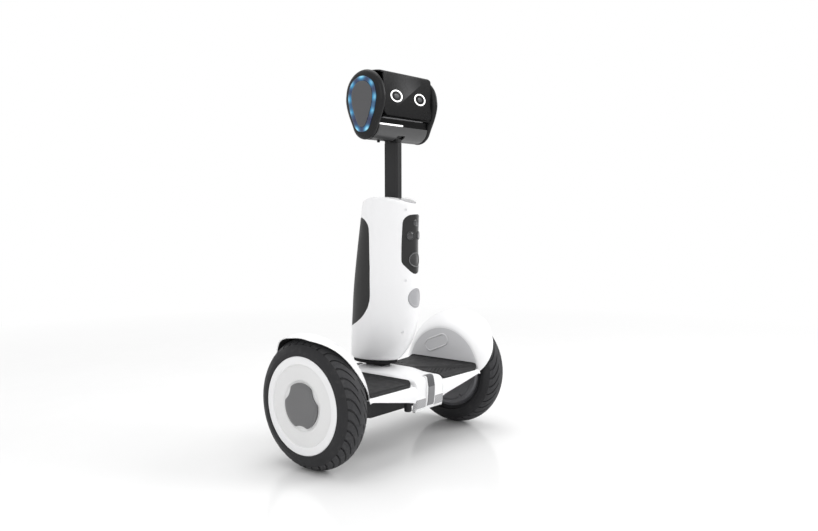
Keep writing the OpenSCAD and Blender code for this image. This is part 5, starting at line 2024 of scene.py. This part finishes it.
def rear_vents():
    """Slim raised louvres on the back of the head."""
    parts = []
    for k in range(8):
        z = 730.0 + 8 * k
        y = PY + math.sqrt(max(0, CROWN ** 2 - (z + 1.5 - CZ) ** 2)) if z > 748 else None
        if y is None:
            a = math.asin((CROWN - CHIN) / (CZ - TZ))
            y = PY + lerp(CHIN, CROWN, (z - TZ) / (CZ - TZ)) / math.cos(a) * 0.998
        ang = math.atan2(z - CZ, y - PY) if z > 748 else -0.32
        o = round_poly([(-29, -1.5), (29, -1.5), (29, 1.5), (-29, 1.5)], 1.45, 6)
        vv, ff = slab(o, -1.2, 0.55, "Y", edge=0.5)
        rot = Matrix.Rotation(ang, 3, "X")
        parts.append(([tuple(rot @ Vector((p[0], p[1], p[2])) + Vector((0, y, z + 1.5))) for p in vv], ff))
    v, f = join(*parts)
    make("head_louvres", v, f, SOFT, "head", (), sharp=35, recalc=True)


rear_vents()

FACE_N = Vector((0, -math.cos(deg(2.12)), math.sin(deg(2.12))))
FACE_UP = Vector((0, math.sin(deg(2.12)), math.cos(deg(2.12))))


def on_face(x, h, d=0.0):
    """A point on the display: x across, h up from its lower edge, d proud of it."""
    p = Vector((x, -51.9, 714.6)) + FACE_UP * h + FACE_N * d
    return tuple(p)


def face():
    H = 89.5
    out = ccw(resample(round_poly([(-79.8, 0), (79.8, 0), (79.8, H), (-79.8, H)], [12, 12, 6, 8], 9), 4.0))
    e = 1.3
    fv, ff = fill(offset_poly(out, -e), (), 9.0)
    dome = lambda x, h: 0.0
    v = [on_face(x, h) for x, h in fv]
    f = list(ff)
    b = len(v)
    rows = []
    for k in range(6):
        t = pi / 2 * k / 5
        rows.append([on_face(p[0], p[1], -e * (1 - math.cos(t))) for p in offset_poly(out, -e * (1 - math.sin(t)))])
    rows.append([on_face(p[0], p[1], -3.4) for p in out])
    rows.append([on_face(p[0], p[1], -3.9) for p in offset_poly(out, -0.5)])
    for r in rows:
        v += r
    f += [q[::-1] for q in grid_faces(len(rows), len(out), close_c=True, base=b)]
    f.append(tuple(reversed(range(len(v) - len(out), len(v)))))
    make("face_display", v, f, FACE_M, "head", "face_plate", sharp=35, weld=0.02, recalc=True)
    # eyes: a white ring and a grey disc each, hardly proud of the glass
    for x, sd in ((-38.9, "left"), (38.9, "right")):
        c = on_face(x, 42.2)
        v, f = lathe([(12.6, -0.3), (12.6, 0.28), (12.4, 0.5), (12.1, 0.58), (10.5, 0.58), (10.2, 0.5), (10.0, 0.28), (10.0, -0.3), (12.6, -0.3)], c, FACE_N, 72)
        v = [(x + (q[0] - x) * 1.52, q[1], q[2]) for q in v]
        make("eye_ring_" + sd, v, f, LED_WHITE, "head", "eye_rings" if x < 0 else (), sharp=40, recalc=True)
        v, f = lathe([(0, -0.3), (5.0, -0.3), (5.0, 0.2), (4.7, 0.4), (4.0, 0.5), (2, 0.56), (0, 0.58)], c, FACE_N, 48)
        v = [(x + (q[0] - x) * 1.52, q[1], q[2]) for q in v]
        make("eye_disc_" + sd, v, f, EYE_GREY, "head", (), sharp=40, recalc=True)


def face_mat():
    """Black glass with a painted reflection: a soft diagonal sheen painted into its colour at upper left."""
    t = Tree("face_glass_m")
    x = t.sep()
    base = t.mix(t.range(t.noise(6, 2), 0.3, 0.7, 0, 1), srgb("#0d0d0e"), srgb("#101011"))
    smear = t.noise(1.0, 4, 0.6, t.stretch(26, 26, 12, (0.2, 0.1, 0.4)))
    # distance above the sheen's slanting edge, and run along it
    px, pz = t.math("ADD", x[0], 0.014), t.math("ADD", x[2], -0.7507)
    d = t.math("SUBTRACT", t.math("MULTIPLY", pz, 0.8364), t.math("MULTIPLY", px, 0.5481))
    run = t.math("ADD", t.math("MULTIPLY", px, 0.8364), t.math("MULTIPLY", pz, 0.5481))
    sheen = t.math("MULTIPLY", t.range(d, -0.0006, 0.0012, 0, 1), t.range(d, 0.0, 0.062, 1, 0))
    sheen = t.math("MULTIPLY", sheen, t.math("MULTIPLY", t.range(run, -0.03, 0.012, 0, 1), t.range(run, 0.03, 0.075, 1, 0)))
    # painted reflection: the sheen band is mixed into the base colour
    base = t.mix(sheen, base, srgb("#474748"))
    t.set(color=base, rough=t.range(smear, 0.35, 0.75, 0.27, 0.30), spec=0.08, coat=0.02, coat_rough=t.range(smear, 0.3, 0.7, 0.07, 0.09),
          normal=t.bump(t.noise(30, 1, 0.3), 0.00001))
    return t.m


FACE_M = face_mat()
face()


MOUTH = plastic("mouth_black_m", "#070708", 0.3, spec=0.1, var=0.08, rvar=0.1, grain=0.00001).m


def mouth():
    # dark recess between plate and chin, with its ledge and the light bar
    sec = [(-47.4, 715.5), (-48.6, 713.4), (-47.2, 711.8), (-42.5, 710.6), (-38.2, 708.8), (-36.6, 705.0), (-36.4, 694.4), (-33.5, 694.4), (-33.5, 715.5)]
    v, f = slab([(y, z) for y, z in sec], -80.2, 80.2, "X", edge=0.5)
    make("mouth_recess", v, f, MOUTH, "head", (), sharp=30, recalc=True)
    sec = round_poly([(-49.3, 708.3), (-49.3, 710.4), (-41, 710.9), (-41, 708.7)], 0.7, 4)
    v, f = slab(sec, -79.8, 50, "X", edge=0.5)
    make("mouth_ledge", v, f, EAR_IN, "head", (), sharp=30, recalc=True)
    sec = round_poly([(-41.0, 695.7), (-41.0, 698.9), (-37, 698.9), (-37, 695.7)], 0.9, 5)
    v, f = slab(sec, -78.5, -6.4, "X", edge=0.8)
    make("light_bar", v, f, LED_WHITE, "head", "status_bar", sharp=35, recalc=True)


mouth()


def stud():
    v, f = lathe([(0, 661.5), (2.2, 661.5), (2.9, 661.9), (3.2, 662.7), (3.2, 667), (0, 667)], (-49.5, -8.3, 0), (0, 0, 1), 32)
    make("chin_stud", v, f, SOFT, "head", (), sharp=35, recalc=True)


stud()

# =========================================================================
# CAD parts that are shown as they are: rounded edges and their own finish
# =========================================================================
KEEP = {
    "chassis_frame": (DARK, 1.2), "belly_cover": (CAST, 0.8), "axle_shafts": (STEEL, 0.6), "axle_clamps": (ALLOY, 0.8),
    "motor_stators": (COPPER, 0.4), "battery_pack": (WRAP, 2.0), "motor_controller": (BOARD, 0.3), "steering_bearings": (STEEL, 0.4),
    "steering_stops": (SOFT, 0.8), "mat_switches": (SOFT, 0.5), "charge_port": (DARK, 0.3), "belly_screws": (STEEL, 0.3), "charge_flap": (SOFT, 0.35),
    "wheel_bearings_left": (STEEL, 0.4), "wheel_bearings_right": (STEEL, 0.4), "steering_stem": (CAST, 0.7), 
    "mast_guide": (ALLOY, 0.6), "computer_board": (BOARD, 0.3), "pan_motor": (ALLOY, 0.4), "pan_turret": (HEAD, 0.7), "tilt_yoke": (ALLOY, 0.6),
}
for nm, (mt, bv) in KEEP.items():
    o = NODES[nm]
    o.data.materials.clear()
    o.data.materials.append(mt)
    m = o.modifiers.new("edges", "BEVEL")
    m.width = bv * .001
    m.segments = 2
    m.limit_method = "ANGLE"
    m.angle_limit = deg(40)
    m.use_clamp_overlap = True
    m.harden_normals = True
for o in NODES.values():
    if not o.hide_render and o.name not in KEEP and not o.data.materials:
        o.data.materials.append(DARK)

# =========================================================================
# Studio: pale floor, white surroundings, soft lamps, camera
# =========================================================================
sc = bpy.context.scene


def floor():
    n = 48
    v, f = [], []
    rad = [0.0, 0.2, 0.4, 0.6, 0.8, 1.0, 1.3, 1.7, 2.2, 3, 4.5, 7, 11, 18]
    rows = [[0]]
    v.append((0, 0, 0))
    for r in rad[1:]:
        rows.append(list(range(len(v), len(v) + n)))
        v += [(r * math.cos(2 * pi * i / n), r * math.sin(2 * pi * i / n), 0) for i in range(n)]
    for a, b in zip(rows, rows[1:]):
        for i in range(n):
            j = (i + 1) % n
            f.append((a[0], b[i], b[j]) if len(a) == 1 else (a[i], b[i], b[j], a[j]))
    me = bpy.data.meshes.new("studio_floor")
    me.from_pydata(v, [], f)
    ob = bpy.data.objects.new("studio_floor", me)
    sc.collection.objects.link(ob)
    t = Tree("studio_floor_m")
    base = t.mix(t.range(t.noise(3, 2), 0.3, 0.7, 0, 1), (0.80, 0.80, 0.80), (0.82, 0.82, 0.82))
    t.set(color=base, rough=t.range(t.noise(18, 2), 0.3, 0.7, 0.12, 0.16), spec=0.14)
    # far away the floor runs into plain white
    em = t.n("ShaderNodeEmission")
    em.inputs[0].default_value = (1, 1, 1, 1)
    em.inputs[1].default_value = 1.0
    mx = t.n("ShaderNodeMixShader")
    ln = t.n("ShaderNodeVectorMath", operation="LENGTH")
    t.link(t.co, ln.inputs[0])
    fac = t.range(ln.outputs["Value"], 0.75, 2.6, 0.0, 1.0)
    t.link(fac, mx.inputs[0])
    t.link(t.b.outputs[0], mx.inputs[1])
    t.link(em.outputs[0], mx.inputs[2])
    # seen from underneath, the floor is clear
    tr = t.n("ShaderNodeBsdfTransparent")
    m2 = t.n("ShaderNodeMixShader")
    see = t.math("MULTIPLY", t.n("ShaderNodeNewGeometry").outputs["Backfacing"], t.n("ShaderNodeLightPath").outputs["Is Camera Ray"])
    t.link(see, m2.inputs[0])
    t.link(mx.outputs[0], m2.inputs[1])
    t.link(tr.outputs[0], m2.inputs[2])
    t.link(m2.outputs[0], t.out.inputs[0])
    me.materials.append(t.m)


floor()


def area(name, loc, target, size, power, sy=None):
    l = bpy.data.lights.new(name, "AREA")
    l.shape = "RECTANGLE"
    l.size = size
    l.size_y = sy or size
    l.energy = power
    o = bpy.data.objects.new(name, l)
    o.location = loc
    o.rotation_euler = (Vector(target) - Vector(loc)).to_track_quat("-Z", "Y").to_euler()
    sc.collection.objects.link(o)
    return o


area("key", (1.7, -2.1, 2.1), (0, 0, 0.35), 1.5, 42)
area("fill", (-2.3, -1.1, 1.5), (0, 0, 0.4), 1.6, 9)
area("top", (0.2, 0.3, 2.9), (0, 0, 0.3), 2.2, 26)

w = bpy.data.worlds.new("studio_world")
sc.world = w
w.use_nodes = True
nt = w.node_tree
nt.nodes.clear()
wo = nt.nodes.new("ShaderNodeOutputWorld")
bg_cam = nt.nodes.new("ShaderNodeBackground")
bg_cam.inputs[0].default_value = (1, 1, 1, 1)
bg_cam.inputs[1].default_value = 1.0
bg = nt.nodes.new("ShaderNodeBackground")
lp = nt.nodes.new("ShaderNodeLightPath")
ms = nt.nodes.new("ShaderNodeMixShader")
# the surroundings are bright above and darker low down
tc = nt.nodes.new("ShaderNodeTexCoord")
sp = nt.nodes.new("ShaderNodeSeparateXYZ")
nt.links.new(tc.outputs["Generated"], sp.inputs[0])
mr = nt.nodes.new("ShaderNodeMapRange")
mr.inputs[1].default_value = -0.3
mr.inputs[2].default_value = 0.9
mr.inputs[3].default_value = 0.74
mr.inputs[4].default_value = 0.95
nt.links.new(sp.outputs[2], mr.inputs[0])
nt.links.new(mr.outputs[0], bg.inputs[1])
bg.inputs[0].default_value = (1, 1, 1, 1)
nt.links.new(lp.outputs["Is Camera Ray"], ms.inputs[0])
nt.links.new(bg.outputs[0], ms.inputs[1])
nt.links.new(bg_cam.outputs[0], ms.inputs[2])
nt.links.new(ms.outputs[0], wo.inputs[0])

az, el, roll = deg(-51.2624), deg(3.6158), deg(-0.0676)
back = Vector((math.sin(az) * math.cos(el), -math.cos(az) * math.cos(el), math.sin(el)))
right = Vector((math.cos(az), math.sin(az), 0))
up = back.cross(right)
r2 = right * math.cos(roll) + up * math.sin(roll)
u2 = up * math.cos(roll) - right * math.sin(roll)
cd = bpy.data.cameras.new("camera")
cam = bpy.data.objects.new("camera", cd)
sc.collection.objects.link(cam)
cam.matrix_world = Matrix(((r2.x, u2.x, back.x, -1.3154), (r2.y, u2.y, back.y, -1.1373), (r2.z, u2.z, back.z, 0.5135), (0, 0, 0, 1)))
cd.sensor_width = 36
cd.lens = 34.72
cd.shift_x = -0.01364
cd.shift_y = -0.0045
cd.clip_start = 0.01
cd.clip_end = 60
sc.camera = cam
sc.view_settings.view_transform = "Standard"
sc.view_settings.look = "None"

bpy.context.view_layer.update()
